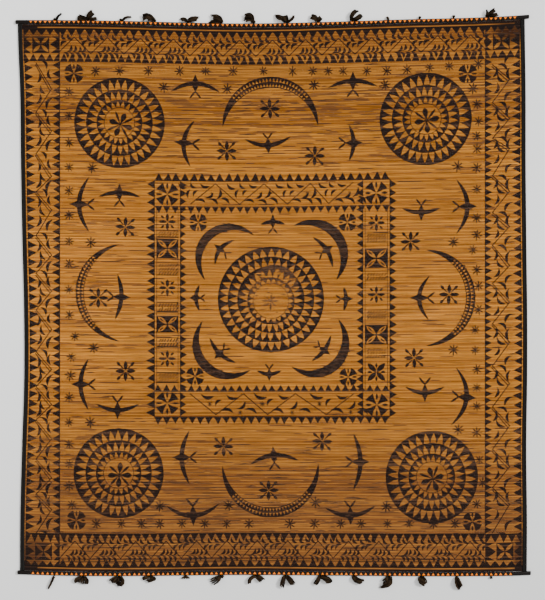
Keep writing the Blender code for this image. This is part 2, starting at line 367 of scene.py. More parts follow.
def asterisk(x, run, radius, turn=0):
    """A small star with eight rays."""
    for side in range(8):
        reach = radius * hand.uniform(*RAY_LENGTH)
        ray = leaf(1, reach, max(RAY_WIDTH * radius, LEAST_RAY_WIDTH), fullness=0.6)
        dye.lay(turned(ray, (x, run), turn + 45 * side))
    dye.lay(turned(disc(STAR_HEART * radius, 8), (x, run)))


FLOWER_SWAY = 4


def star_flower(x, y):
    """Four pointed petals with four thin stalks between them, each stalk with a club end."""
    centre = on_field(x, y)
    for side in range(4):
        upright = 90 * side + hand.uniform(-FLOWER_SWAY, FLOWER_SWAY)
        dye.lay(turned(leaf(start=1, end=37, width=14.5, fullness=0.85), centre, upright))
        dye.lay(turned(leaf(start=6, end=36, width=4.4, fullness=0.5), centre, upright + 45))
        dye.lay(turned(leaf(start=26, end=45, width=10, fullness=0.6), centre, upright + 45))


def quarter_leaves(centre, radius, first, start, end, width, fullness=0.8):
    """Four leaves round a point. start is in millimetres, and end and width are shares of the radius."""
    for side in range(4):
        dye.lay(turned(leaf(start, end * radius, width * radius, fullness), centre, first + 90 * side))


def eight_petals(centre, radius):
    """Eight loose petals: the upright ones reach the middle, the slanting ones stay clear of it."""
    quarter_leaves(centre, radius, 0, start=2, end=0.95, width=0.34)
    quarter_leaves(centre, radius, 45, start=0.5 * radius, end=1, width=0.22, fullness=0.6)


def crossed_petals(centre, radius):
    """Four broad petals on the slants that meet in the middle, with small ones between them."""
    quarter_leaves(centre, radius, 45, start=1, end=1.35, width=0.55, fullness=0.7)
    quarter_leaves(centre, radius, 0, start=0.45 * radius, end=1, width=0.26)


# The outline of one dark quarter of a rosette, from its centre, in shares of the rosette's radius. Those in
# the inner frame's corners are narrower.
WEDGE = [(0, 0), (0.21, 0.5), (0.3, 0.95), (0.69, 0.75), (0.95, 0.32), (0.5, 0.2)]
NARROW_WEDGE = [(0, 0), (0.26, 0.48), (0.38, 0.93), (0.66, 0.68), (0.93, 0.33), (0.46, 0.2)]


def rosette(x, y, radius, wedge=WEDGE):
    """Four dark wedges on the slants, with a small dark leaf in each bare petal between them."""
    centre = on_field(x, y)
    for side in range(4):
        dye.lay(turned(wedge, centre, 90 * side, radius))
    quarter_leaves(centre, radius, 0, start=0.4 * radius, end=0.95, width=0.18)


# The leaves towards a dark square's corners, in shares of the way to them: a bare one with a dark heart.
SQUARE_LEAF_REACH = 0.92


def leaf_square(centre, half_x, half_y, hearts=True):
    """A dark square with a bare leaf towards each corner, each with a small dark leaf inside."""
    x, run = centre
    dye.lay(rectangle(x - half_x, run - half_y, x + half_x, run + half_y))
    reach = math.hypot(half_x, half_y) * SQUARE_LEAF_REACH
    for corner in ((1, 1), (-1, 1), (-1, -1), (1, -1)):
        angle = math.degrees(math.atan2(corner[1] * half_y, corner[0] * half_x))
        dye.lay(turned(leaf(start=2, end=reach, width=0.3 * reach), centre, angle), BARE)
        if hearts:
            dye.lay(turned(leaf(start=0.4 * reach, end=0.85 * reach, width=0.13 * reach), centre, angle))


def arc_through(start, middle, end):
    """The centre, radius and end angles of the arc through three points."""
    rows = np.array((middle - start, end - start)) * 2
    values = np.array((middle @ middle - start @ start, end @ end - start @ start))
    centre = np.linalg.solve(rows, values)
    radius = float(np.linalg.norm(start - centre))

    def angle_of(point):
        return math.degrees(math.atan2(point[1] - centre[1], point[0] - centre[0]))

    first = angle_of(start)
    through = (angle_of(middle) - first) % 360
    last = (angle_of(end) - first) % 360
    if through > last:
        last -= 360
    return centre, radius, first, first + last


# How many steps a crescent's sides have, how full its horns are, and the part of its length, each way from
# its middle, where its dye is thin.
CRESCENT_STEPS = 28
CRESCENT_FULLNESS = 0.75
CRESCENT_WORN = 0.25
# Rows of bare triangles along a crescent: the part of its length that they fill, their pitch, half their
# width as a share of it, and where their tips and bases lie, as shares of the crescent's depth from its
# outer side.
ROWS_FROM = 0.2
ROWS_TO = 0.8
ROW_PITCH = 13.5
ROW_TOOTH_HALF = 0.38
ROW_TEETH = ((0.12, 0.46), (0.6, 0.9))


def crescent(tip_a, tip_b, back, thickness, rows, worn):
    """A crescent between two tips, its outer side an arc through the back. Rows of bare triangles
    may fill it. worn is how many patches of thin dye lie at each step along its middle."""
    centre, radius, first, last = arc_through(on_field(*tip_a), on_field(*back), on_field(*tip_b))
    span = last - first

    def depth_at(t):
        return thickness * math.sin(math.pi * t) ** CRESCENT_FULLNESS

    outer = []
    inner = []
    for step in range(CRESCENT_STEPS + 1):
        t = step / CRESCENT_STEPS
        outer.append(centre + np.array(polar(radius, first + span * t)))
        inner.append(centre + np.array(polar(radius - depth_at(t), first + span * t)))
    dye.lay(outer + inner[-2:0:-1])
    for step in range(CRESCENT_STEPS + 1):
        if abs(step / CRESCENT_STEPS - 0.5) < CRESCENT_WORN:
            thin_patches((outer[step] + inner[step]) / 2, thickness * 0.5, worn, longest=CRESCENT_PATCH)
    if not rows:
        return
    count = round(radius * math.radians(abs(span)) * (ROWS_TO - ROWS_FROM) / ROW_PITCH)
    pitch = (ROWS_TO - ROWS_FROM) / count
    reach = span * pitch * ROW_TOOTH_HALF
    for tooth in range(count):
        t = ROWS_FROM + pitch * (tooth + 0.5)
        depth = depth_at(t)
        angle = first + span * t
        for tip, base in ROW_TEETH:
            corners = [
                polar(radius - base * depth, angle - reach),
                polar(radius - base * depth, angle + reach),
                polar(radius - tip * depth, angle),
            ]
            dye.lay(np.array(corners) + centre, BARE)


# One side of a swallow's body from its beak to its tail: ahead, in body lengths, and across, in shares of
# half its width.
BIRD_SIDE = [(0.38, 0), (0.2, 0.5), (0.06, 1), (-0.12, 0.75), (-0.28, 0.2), (-0.36, 0.2)]
# A swallow's wings: the points along them, how far ahead they leave the body, in body lengths, and the power
# by which they sweep back. Their depth and half the body's width grow with the span.
WING_POINTS = 9
WING_AHEAD = 0.1
WING_SWEEP = 2.2
WING_DEPTH = 13
WING_DEPTH_SHARE = 0.02
BODY_HALF = 7
BODY_HALF_SHARE = 0.035
# The two points of its tail: where they part, in body lengths, their length, width, least width and spread.
FORK_AT = -0.29
FORK_LENGTH = 0.37
FORK_WIDTH = 0.08
LEAST_FORK_WIDTH = 6.5
FORK_SPREAD = 38
BIRD_WORN = 0.14
BIRD_PATCHES = 9


def swallow(x, y, span, length, heading, sweep):
    """A flying swallow seen from above. heading is the way its beak points, in degrees from +X."""
    centre = on_field(x, y)
    t = np.linspace(0, 1, WING_POINTS)
    front = np.c_[WING_AHEAD * length - sweep * span * t ** WING_SWEEP, span / 2 * t]
    depth = (WING_DEPTH + WING_DEPTH_SHARE * span) * (1 - t**3) ** 0.8
    wing = np.concatenate([front, np.c_[front[:, 0] - depth, span / 2 * t][-2::-1]])
    side = np.array(BIRD_SIDE) * (length, BODY_HALF + BODY_HALF_SHARE * span)
    fork = leaf(0, FORK_LENGTH * length, max(FORK_WIDTH * length, LEAST_FORK_WIDTH), fullness=0.5)
    for way in (1, -1):
        dye.lay(turned(wing * (1, way), centre, heading))
        dye.lay(turned(turned(fork, (FORK_AT * length, 0), 180 + FORK_SPREAD * way), centre, heading))
    dye.lay(turned(np.concatenate([side, (side * (1, -1))[:0:-1]]), centre, heading))
    thin_patches(centre, BIRD_WORN * span, BIRD_PATCHES, longest=BIRD_PATCH)


# Slivers of cane skin: how many there are, and the share of them that is dark. A share of them gathers
# towards the top, a share of the rest on the left, and a share of what is left towards the bottom. Each
# reach ends with the place where they lie thickest. The left and bottom ones start at the mat's edge.
SLIVER_COUNT = 2300
DARK_SLIVERS = 0.3
TOP_SLIVERS = 0.29
TOP_SLIVER_REACH = (400, 840, 690)
LEFT_SLIVERS = 0.18
LEFT_SLIVER_REACH = (-300, -700)
BOTTOM_SLIVERS = 0.6
BOTTOM_SLIVER_REACH = (-450, -760)
# The slivers' lengths, and half their widths.
PALE_SLIVER_LENGTH = (25, 90)
PALE_SLIVER_HALF = 1.5
DARK_SLIVER_LENGTH = (15, 90)
DARK_SLIVER_HALF = (1.3, 2.4)


def cane_marks():
    """Thin dark slivers of cane skin, each on the middle of a slat. They lie under the figures."""
    half = loom.length / 2
    pitch = loom.length / round(loom.length / SLAT_PITCH)
    for mark in range(SLIVER_COUNT):
        x = hand.uniform(loom.start, loom.end)
        run = hand.uniform(-half, half)
        if hand.random() < TOP_SLIVERS:
            run = hand.triangular(*TOP_SLIVER_REACH)
        elif hand.random() < LEFT_SLIVERS:
            x = hand.triangular(loom.start, *LEFT_SLIVER_REACH)
        elif hand.random() < BOTTOM_SLIVERS:
            run = hand.triangular(-half, *BOTTOM_SLIVER_REACH)
        run = (math.floor((run + half) / pitch) + 0.5) * pitch - half
        length = hand.uniform(*PALE_SLIVER_LENGTH)
        rise = PALE_SLIVER_HALF
        tone = STREAK
        if hand.random() < DARK_SLIVERS:
            length = hand.uniform(*DARK_SLIVER_LENGTH)
            rise = hand.uniform(*DARK_SLIVER_HALF)
            tone = SOFT
        low = (x + length * 0.4, run - rise)
        high = (x + length * 0.6, run + rise)
        dye.lay([(x, run), low, (x + length, run), high], tone)


Circle = namedtuple("Circle", "x y radius turn")
SUNS = [
    Circle(-553, 634, 163, -20),
    Circle(549, 648, 166, 10),
    Circle(-556, -627, 162, 0),
    Circle(571, -641, 166, 20),
]
MIDDLE_SUN = Circle(-8, -2, 191, 0)
# Rings of a sun: where the bare triangles' tips and bases lie, in shares of its radius, and how many there
# are.
Ring = namedtuple("Ring", "tip base count")
SUN_RINGS = [Ring(0.963, 0.738, 32), Ring(0.713, 0.508, 26), Ring(0.483, 0.346, 22)]
MIDDLE_OUTER_RINGS = [Ring(0.973, 0.817, 36), Ring(0.8, 0.636, 32)]
MIDDLE_INNER_RINGS = [Ring(0.606, 0.448, 27), Ring(0.424, 0.345, 22)]
# The bare eye in a sun's middle, in shares of its radius, and the lengths and widths of the eight petals in
# it.
SUN_EYE = 0.329
MIDDLE_EYE = 0.33
SUN_PETALS = ((46, 52), (19, 8))
SUN_PETAL_SHIFT = (3, -6)
MIDDLE_PETALS = ((34, 26), (7, 5))
SUN_SIDES = 72
# Thin dye on a sun: how far out it goes, in shares of the radius, and how many patches there are to a
# millimetre.
SUN_WORN = 0.96
SUN_PATCHES = 1.6
# The middle sun's inner rings sit a little low, and above them its dye is worn thin in a round patch.
INNER_SHIFT = (0, -5)
WORN_SHIFT = (12, 38)
WORN_RADIUS = 88
# Slivers of wear on the middle sun: how many there are, their tone, and the length of the longest. Those of
# the rings and the eye reach so far out, in shares of its radius.
WORN_DARK = (90, STREAK, 34)
WORN_BARE = (70, BARE, 26)
RING_WEAR = (90, STREAK, 30)
RING_WEAR_REACH = 0.6
EYE_WEAR = (60, STREAK, 26)
EYE_WEAR_REACH = 0.5


def sun(x, y, radius, turn, rings):
    """A dark disc with rings of bare triangles."""
    centre = on_field(x, y)
    dye.lay(turned(disc(radius, SUN_SIDES), centre))
    thin_patches(centre, radius * SUN_WORN, round(radius * SUN_PATCHES))
    for tip, base, count in rings:
        ring_teeth(centre, base * radius, tip * radius, count, turn)
    return centre


def suns():
    for circle in SUNS:
        centre = sun(*circle, SUN_RINGS)
        dye.lay(turned(disc(SUN_EYE * circle.radius), centre), BARE)
        petals(centre + SUN_PETAL_SHIFT, *SUN_PETALS, circle.turn)
    centre = sun(*MIDDLE_SUN, MIDDLE_OUTER_RINGS)
    radius = MIDDLE_SUN.radius
    worn = centre + WORN_SHIFT
    dye.lay(turned(disc(WORN_RADIUS), worn), SOFT)
    thin_patches(worn, WORN_RADIUS, *WORN_DARK)
    thin_patches(centre, RING_WEAR_REACH * radius, *RING_WEAR)
    centre = centre + INNER_SHIFT
    for tip, base, count in MIDDLE_INNER_RINGS:
        ring_teeth(centre, base * radius, tip * radius, count)
    dye.lay(turned(disc(MIDDLE_EYE * radius), centre), BARE)
    petals(centre, *MIDDLE_PETALS, tone=STREAK)
    thin_patches(centre, EYE_WEAR_REACH * radius, *EYE_WEAR)
    thin_patches(worn, WORN_RADIUS, *WORN_BARE)


Crescent = namedtuple("Crescent", "tip_a tip_b back thickness rows worn")
CRESCENTS = [
    Crescent((-182, 618), (162, 622), (-11, 800), 40, True, 2),
    Crescent((163, -588), (-183, -599), (-11, -787), 37, True, 2),
    Crescent((-551, -153), (-553, 197), (-711, 22), 30, True, 14),
    Crescent((547, 177), (550, -169), (728, 7), 34, True, 6),
    Crescent((-244, 66), (-67, 228), (-248, 234), 32, False, 9),
    Crescent((72, 263), (226, 67), (239, 245), 36, False, 9),
    Crescent((-81, -255), (-253, -78), (-256, -252), 34, False, 9),
    Crescent((234, -72), (65, -243), (240, -246), 36, False, 9),
]

Bird = namedtuple("Bird", "x y span length heading sweep")
UP = 90
DOWN = -90
LEFT = 180
RIGHT = 0
SWALLOWS = [
    Bird(-280, 774, 178, 92, UP, 0.22),
    Bird(287, 783, 178, 98, UP, 0.17),
    Bird(-553, 382, 148, 90, UP, 0.15),
    Bird(2, -563, 180, 90, UP + 5, 0.2),
    Bird(-18, 553, 168, 80, DOWN + 3, 0.21),
    Bird(533, 312, 142, 84, DOWN, 0.17),
    Bird(-560, -399, 158, 92, DOWN, 0.19),
    Bird(546, -336, 140, 94, DOWN, 0.2),
    Bird(-288, -777, 196, 106, DOWN + 2, 0.25),
    Bird(278, -778, 184, 94, DOWN + 2, 0.22),
    Bird(-320, 562, 172, 100, LEFT - 5, 0.235),
    Bird(-697, 341, 200, 96, LEFT, 0.225),
    Bird(-692, -307, 187, 94, LEFT, 0.2),
    Bird(-328, -570, 197, 94, LEFT, 0.185),
    Bird(288, 562, 130, 93, RIGHT, 0.18),
    Bird(698, 333, 200, 95, RIGHT, 0.25),
    Bird(695, -354, 212, 95, RIGHT - 5, 0.27),
    Bird(313, -586, 205, 95, RIGHT, 0.165),
    Bird(-547, 7, 166, 90, RIGHT - 3, 0.16),
    Bird(527, 4, 163, 95, LEFT - 1, 0.28),
    Bird(-191, 180, 115, 72, 142, 0.24),
    Bird(193, 177, 133, 74, 33, 0.18),
    Bird(-193, -197, 133, 72, -134, 0.18),
    Bird(184, -185, 116, 72, -37, 0.17),
    Bird(-1, 278, 88, 76, UP, 0.19),
    Bird(-14, -271, 90, 66, DOWN, 0.22),
    Bird(-279, 4, 95, 60, LEFT, 0.2),
    Bird(263, 0, 86, 66, RIGHT, 0.17),
]

Spot = namedtuple("Spot", "x y")
FLOWERS = [
    Spot(-167, 532),
    Spot(150, 515),
    Spot(-12, 685),
    Spot(-532, 259),
    Spot(494, 207),
    Spot(-629, 4),
    Spot(633, 16),
    Spot(-531, -259),
    Spot(507, -212),
    Spot(-179, -531),
    Spot(177, -512),
    Spot(-16, -689),
]
CORNER_ROSETTES = [Spot(-717, 812), Spot(700, 810), Spot(-708, -796), Spot(717, -801)]
INNER_ROSETTES = [Spot(-270, 275), Spot(267, 276), Spot(-281, -278), Spot(270, -281)]

# A small star's size and turn vary.
STAR_RADIUS = 20
STAR_SIZES = (0.9, 1.05)
STAR_SWAY = 12
LONE_STAR_RADIUS = 22
# Rows and columns of small stars: the one place that a row shares, and the places along it.
TOP_STARS_LINE = ((-800, 400, 740), (820, 820, 846))
TOP_STARS = (-639, -553, -449, -336, -243, -144, -36, 70, 142, 198, 252, 337, 409, 482, 563, 633, 738)
BOTTOM_STARS_Y = -809
BOTTOM_STARS = (-636, -546, -474, -408, -328, -246, -167, -87, 60, 149, 244, 316, 411, 490, 577, 654)
LEFT_STARS_X = -734
LEFT_STARS = (746, 659, 562, 474, 390, 302, 208, 127, 34, -57, -135, -210, -276, -354, -444, -522, -594,
              -672, -739)
RIGHT_STARS_X = 733
RIGHT_STARS = (701, 639, 587, 540, 472, 394, 291, 230, 177, 105, 47, -38, -112, -184, -253, -319, -386,
               -480, -579, -661, -737)
# Stars that stand off their column, and by how much.
STRAY_LEFT = {-135: 21, -210: 8, -276: 4, -739: 10}
STRAY_RIGHT = {639: 6, 177: -15, 47: 6, -38: 6, -112: -6, -184: -6, -579: 9, -661: 21}
LONE_STARS = [
    Spot(-394, 762),
    Spot(-165, 755),
    Spot(147, 769),
    Spot(402, 770),
    Spot(719, 757),
    Spot(-651, 472),
    Spot(-656, 203),
    Spot(-646, -176),
    Spot(-658, -444),
    Spot(664, 477),
    Spot(649, 205),
    Spot(649, -183),
    Spot(666, -470),
    Spot(-408, -745),
    Spot(-160, -742),
    Spot(152, -732),
    Spot(407, -747),
]


def star_sway():
    return hand.uniform(-STAR_SWAY, STAR_SWAY)


def stars():
    spots = [(x, float(np.interp(x, *TOP_STARS_LINE))) for x in TOP_STARS]
    spots += [(x, BOTTOM_STARS_Y) for x in BOTTOM_STARS]
    spots += [(LEFT_STARS_X + STRAY_LEFT.get(y, 0), y) for y in LEFT_STARS]
    spots += [(RIGHT_STARS_X + STRAY_RIGHT.get(y, 0), y) for y in RIGHT_STARS]
    for x, y in spots:
        asterisk(*on_field(x, y), STAR_RADIUS * hand.uniform(*STAR_SIZES), star_sway())
    for x, y in LONE_STARS:
        asterisk(*on_field(x, y), LONE_STAR_RADIUS, star_sway())


CORNER_ROSETTE = 36
INNER_ROSETTE = 34


def loose_figures():
    suns()
    for figure in CRESCENTS:
        crescent(*figure)
    for bird in SWALLOWS:
        swallow(*bird)
    for spot in FLOWERS:
        star_flower(*spot)
    for spot in CORNER_ROSETTES:
        rosette(*spot, CORNER_ROSETTE)
    for spot in INNER_ROSETTES:
        rosette(*spot, INNER_ROSETTE)
    stars()


# The strokes in one wave of a vine. Their places along it are counted in waves from a low turn. Their places
# across it and their lengths are in millimetres. They point along the vine when degrees is 0.
Stroke = namedtuple("Stroke", "along across degrees length bend")
EDGE_STROKES = [
    Stroke(-0.3, 31, -58, 23, -0.3),
    Stroke(-0.06, 30, -60, 22, -0.3),
    Stroke(0.16, 34, -56, 22, -0.3),
    Stroke(0.34, 33, -58, 24, -0.3),
    Stroke(-0.2, 9, 62, 24, 0.3),
    Stroke(-0.02, 8, 56, 22, 0.3),
    Stroke(0.15, 11, 46, 27, 0.3),
    Stroke(0.38, -11, 50, 25, -0.3),
    Stroke(0.52, -10, 62, 22, -0.3),
    Stroke(0.66, -12, 64, 22, -0.3),
    Stroke(0.8, -13, 58, 21, -0.3),
    Stroke(0.27, -30, -56, 24, 0.3),
    Stroke(0.44, -31, -58, 24, 0.3),
    Stroke(0.61, -31, -58, 23, 0.3),
    Stroke(0.78, -31, -56, 23, 0.3),
]
LEFT_STROKES = [
    Stroke(0.29, -15, -3, 31, 0.22),
    Stroke(0.52, -5, 26, 33, -0.25),
    Stroke(0.72, -14, -16, 37, 0.24),
    Stroke(0.78, 20, -26, 43, -0.22),
    Stroke(1.01, 4, 40, 33, 0.26),
    Stroke(1.22, 20, 2, 34, -0.24),
]
RIGHT_STROKES = [
    Stroke(0.24, -19, -10, 35, 0.25),
    Stroke(0.46, -4, 44, 37, -0.25),
    Stroke(0.69, -14, -20, 34, 0.25),
    Stroke(0.86, 24, -42, 38, -0.25),
    Stroke(1.06, 6, 56, 37, 0.25),
    Stroke(1.28, 25, -7, 36, -0.22),
]
FRAME_TOP_STROKES = [
    Stroke(-0.18, 26, -32, 33, -0.24),
    Stroke(0.04, 28, -48, 26, -0.28),
    Stroke(0.27, 28, -17, 31, -0.24),
    Stroke(-0.06, 0, 77, 28, 0.22),
    Stroke(0.09, 3, 52, 25, 0.24),
    Stroke(0.39, -10, 36, 33, -0.24),
    Stroke(0.58, -2, 65, 36, -0.25),
    Stroke(0.21, -26, -9, 30, 0.22),
    Stroke(0.47, -27, -27, 31, 0.24),
    Stroke(0.70, -24, -34, 36, 0.24),
]
FRAME_BOTTOM_STROKES = [
    Stroke(-0.17, 27, -15, 46, -0.22),
    Stroke(0.28, 25, -15, 38, -0.24),
    Stroke(0.03, 8, 52, 30, 0.24),
    Stroke(0.47, -8, 41, 36, -0.24),
    Stroke(0.19, -24, -7, 42, 0.25),
    Stroke(0.66, -22, -17, 40, 0.24),
]
# Small stars among the strokes: their places along the vine, in waves, and across it.
Dot = namedtuple("Dot", "along across radius")
FRAME_TOP_DOTS = [Dot(0.42, 3, 3), Dot(0.66, 3, 3)]
FRAME_BOTTOM_DOTS = [Dot(-0.11, 1, 11), Dot(0.44, -30, 10)]

# The vine's line, and a second one beside its rising parts: how far along it lies, and how much lower it
# starts and ends. The strokes go on past the vine's ends by a part of a wave.
VINE_LINE = 3.5
VINE_DOUBLE = 6.5
VINE_DROP = (2, 6)
VINE_OVERRUN = 0.3
# A stroke's width grows with its length. Its length, place and angle vary.
STROKE_WIDTH = 5.8
EDGE_STROKE_WIDTH = 7.2
STROKE_WIDTH_SHARE = 0.12
STROKE_LENGTH = (1.12, 1.28)
STROKE_SHIFT = 1.5
STROKE_SWAY = 7


def vine(turns, lows, highs, place, facing, strokes, dots=(), doubled=False, width=STROKE_WIDTH):
    """A thin zigzag line between its turns, with leaf strokes in its bays. The turns are places along it, a
    low one first. lows and highs are their places across it. place takes (along, across) to (x, run)."""
    phases = np.arange(len(turns)) / 2
    wave = abs(turns[-1] - turns[0]) / phases[-1]
    way = math.copysign(1, turns[-1] - turns[0])

    def along_at(phase):
        inside = float(np.interp(phase, phases, turns))
        return inside + way * wave * (min(phase, 0) + max(phase - phases[-1], 0))

    for turn, (here, ahead) in enumerate(zip(turns, turns[1:])):
        before, after = (highs, lows) if turn % 2 else (lows, highs)
        stripe([place(here, before), place(ahead, after)], VINE_LINE)
        if doubled and turn % 2 == 0:
            here += way * VINE_DOUBLE
            ahead += way * VINE_DOUBLE
            stripe([place(here, before - VINE_DROP[0]), place(ahead, after - VINE_DROP[1])], VINE_LINE)
    low_end = min(turns[0], turns[-1]) - wave * VINE_OVERRUN
    high_end = max(turns[0], turns[-1]) + wave * VINE_OVERRUN
    for cycle in range(-1, round(phases[-1]) + 1):
        for along, across, degrees, length, bend in strokes:
            spot = along_at(cycle + along)
            if not low_end < spot < high_end:
                continue
            size = length * hand.uniform(*STROKE_LENGTH)
            figure = comma(size, width + STROKE_WIDTH_SHARE * size, bend * size)
            shift = [hand.uniform(-STROKE_SHIFT, STROKE_SHIFT) for _ in range(2)]
            centre = place(spot + shift[0], across + shift[1])
            dye.lay(turned(figure, centre, facing + degrees + hand.uniform(-STROKE_SWAY, STROKE_SWAY)))
        for along, across, radius in dots:
            spot = along_at(cycle + along)
            if low_end < spot < high_end:
                asterisk(*place(spot, across), radius)


# Borders along the mat's edges, from the slat field's ends: how deep the top and bottom ones are, their dark
# band, the bare line in it, and the middle of their vine.
TOP_BORDER = 134
BOTTOM_BORDER = 136
EDGE_BAND = 17.5
EDGE_LINE = (8.8, 12.6)
EDGE_VINE = 79
# The dark band runs past the slats' ends, and the lines stop short of the left and right ones.
BAND_OVERRUN = 20
LINE_INSETS = (55, 30)
BORDER_LEFT = -768
BORDER_RIGHT = 763
SIDE_LINE = 3.4
LINE = 3.0
EDGE_OUTER_TEETH = (56, 27)
EDGE_INNER_TEETH = (52, 29)

# The top and bottom borders: where the vine turns, along it and across it, and the thin dark lines over it,
# by their distances from the slat field's end.
EndBorder = namedtuple("EndBorder", "side band turns lows highs stroke_width thin_lines")
END_BORDERS = [
    EndBorder(-1, BOTTOM_BORDER, np.linspace(-768, 763, 29), -31, 31, STROKE_WIDTH, (37, 45)),
    EndBorder(1, TOP_BORDER, np.linspace(-775, 770, 27), -26, 33, EDGE_STROKE_WIDTH, ()),
]
THIN_LINE_HALF = 0.8

# The side borders: their inner line, and their vine's middle and where it turns across it, how many
# triangles stand on each side of them, and how deep those are.
SideBorder = namedtuple("SideBorder", "side inner middle lows highs turns strokes outer_teeth inner_teeth")
LEFT_TURNS = (849, 756, 672, 604, 522, 441, 385, 321, 227, 158, 92, 29, -40, -109, -190, -253, -316, -379,
              -436, -502, -577, -643, -703, -757, -844)
RIGHT_TURNS = (844, 789, 708, 648, 579, 540, 444, 387, 312, 260, 194, 119, 56, -13, -88, -157, -241, -305,
               -388, -457, -541, -604, -679, -739, -841)
SIDE_BORDERS = [
    SideBorder(-1, BORDER_LEFT, -827, -26, 30, LEFT_TURNS, LEFT_STROKES, (61, 32), (57, 27)),
    SideBorder(1, BORDER_RIGHT, 820, -31, 31, RIGHT_TURNS, RIGHT_STROKES, (62, 31), (66, 25)),
]

# Where two borders meet: half the side of the square of leaves, the bare line round it, how far in from the
# dark block's sides the bare triangles stand, the share of their room that they fill, and how many there are
# in a row along the mat's width and along its length.
CORNER_SQUARE = 30.5
CORNER_LINE = 3
CORNER_INSET = 5
CORNER_TOOTH = 0.88
CORNER_TEETH = (4, 2)
CORNER_SQUARES = [Spot(-836, 916), Spot(821, 928), Spot(-826, -909), Spot(834, -909)]


def corner_block(x, y):
    """A dark block where two borders meet, with a square of bare leaves and rows of bare triangles."""
    square_x, square_run = on_field(x, y)
    side_x = math.copysign(1, x)
    side_run = math.copysign(1, y)
    half = loom.length / 2
    band = TOP_BORDER if y > 0 else BOTTOM_BORDER
    inner_x = BORDER_RIGHT if x > 0 else BORDER_LEFT
    outer_x = loom.ends(square_run)[x > 0] - side_x * SIDE_LINE
    left, right = sorted((inner_x, outer_x))
    low, high = sorted((side_run * (half - band), side_run * (half - EDGE_BAND)))
    dye.lay(rectangle(left, low, right, high))
    reach = CORNER_SQUARE + CORNER_LINE
    x0, x1, run0, run1 = square_x - reach, square_x + reach, square_run - reach, square_run + reach
    left += CORNER_INSET
    right -= CORNER_INSET
    across, down = CORNER_TEETH
    for start, end, count, room in (
        ((left, run1), (right, run1), across, high - run1),
        ((x1, run1), (x1, run0), down, right - x1),
        ((right, run0), (left, run0), across, run0 - low),
        ((x0, run0), (x0, run1), down, x0 - left),
    ):
        teeth(straight(start, end), count, room * CORNER_TOOTH, BARE)
    for run in (run0 + CORNER_LINE / 2, run1 - CORNER_LINE / 2):
        stripe([(left, run), (right, run)], CORNER_LINE, BARE)
    dye.lay(rectangle(x0, run0, x1, run1), BARE)
    leaf_square((square_x, square_run), CORNER_SQUARE, CORNER_SQUARE, hearts=False)


def end_border(side, band, turns, lows, highs, stroke_width, thin_lines):
    """The border along the bottom (side -1) or the top (side 1)."""
    edge = side * loom.length / 2
    inner = edge - side * band
    left = loom.start + LINE_INSETS[0]
    right = loom.end - LINE_INSETS[1]
    outer_run = edge - side * EDGE_BAND
    dye.lay(rectangle(loom.start - BAND_OVERRUN, edge + side, loom.end + BAND_OVERRUN, outer_run))
    dye.lay(rectangle(left, edge - side * EDGE_LINE[0], right, edge - side * EDGE_LINE[1]), BARE)
    first, last = (loom.start, loom.end)[::-side]
    teeth(straight((first, outer_run), (last, outer_run)), *EDGE_OUTER_TEETH)
    first, last = (BORDER_LEFT, BORDER_RIGHT)[::side]
    teeth(straight((first, inner), (last, inner)), *EDGE_INNER_TEETH)
    middle = edge - side * EDGE_VINE

    def place(along, across):
        return np.array((along, middle + across))

    vine(turns, lows, highs, place, 0, EDGE_STROKES, width=stroke_width)
    for away in thin_lines:
        run = edge - side * away
        dye.lay(rectangle(left, run - THIN_LINE_HALF, right, run + THIN_LINE_HALF))
    dye.lay(rectangle(BORDER_LEFT, inner - LINE / 2, BORDER_RIGHT, inner + LINE / 2))


def side_border(side, inner, middle, lows, highs, turns, strokes, outer_teeth, inner_teeth):
    """The border down the left (side -1) or the right (side 1), between the top and bottom ones."""
    half = loom.length / 2
    low = BOTTOM_BORDER - half
    high = half - TOP_BORDER
    ends = (EDGE_BAND - half, half - EDGE_BAND)[::side]
    teeth(beside_end(side, SIDE_LINE, *ends), *outer_teeth)
    first, last = (low, high)[::-side]
    teeth(straight((inner, first), (inner, last)), *inner_teeth)
    dye.lay(rectangle(inner - LINE / 2, low, inner + LINE / 2, high))

    def place(along, across):
        return np.array((middle + across, loom.run_of(middle, along)))

    vine(turns, lows, highs, place, -90, strokes, doubled=True)


def borders():
    for border in END_BORDERS:
        end_border(*border)
    for border in SIDE_BORDERS:
        side_border(*border)
    for spot in CORNER_SQUARES:
        corner_block(*spot)


# The inner frame: the places of its outer and inner sides.
FRAME_OUTER = {"left": -427, "right": 420, "top": 424, "bottom": -424}
FRAME_INNER = {"left": -334, "right": 323, "top": 333, "bottom": -333}
# Where its two vines turn, along them and across them. The bottom one's line starts one turn before its
# strokes.
FRAME_TOP_TURNS = (-297, -208, -121, -33, 51, 134, 200, 286)
FRAME_TOP_REACH = (-38, 36)
FRAME_BOTTOM_START = -299
FRAME_BOTTOM_TURNS = (-206, -107, -20, 80, 191, 291)
FRAME_BOTTOM_REACH = (-38, 38)
FRAME_CORNERS = [Spot(-381, 377), Spot(371, 382), Spot(-381, -375), Spot(373, -381)]
FRAME_ROSETTE = 44
FRAME_LINE = 2.6
THIN_LINE = 2.8
COLUMN_LINE = 2.2
# Rows of triangles outside and inside the frame: how many, and how deep.
OUTER_TEETH = {"top": (27, 29), "right": (27, 25), "bottom": (28, 27), "left": (27, 29)}
INNER_TEETH = {"top": (29, 27), "right": (22, 24), "bottom": (29, 25), "left": (23, 23)}
# The triangles at the ends of the top and bottom bands, and how far they stay from the bands' lines.
FRAME_END_TEETH = (3, 23)
FRAME_END_GAP = 2

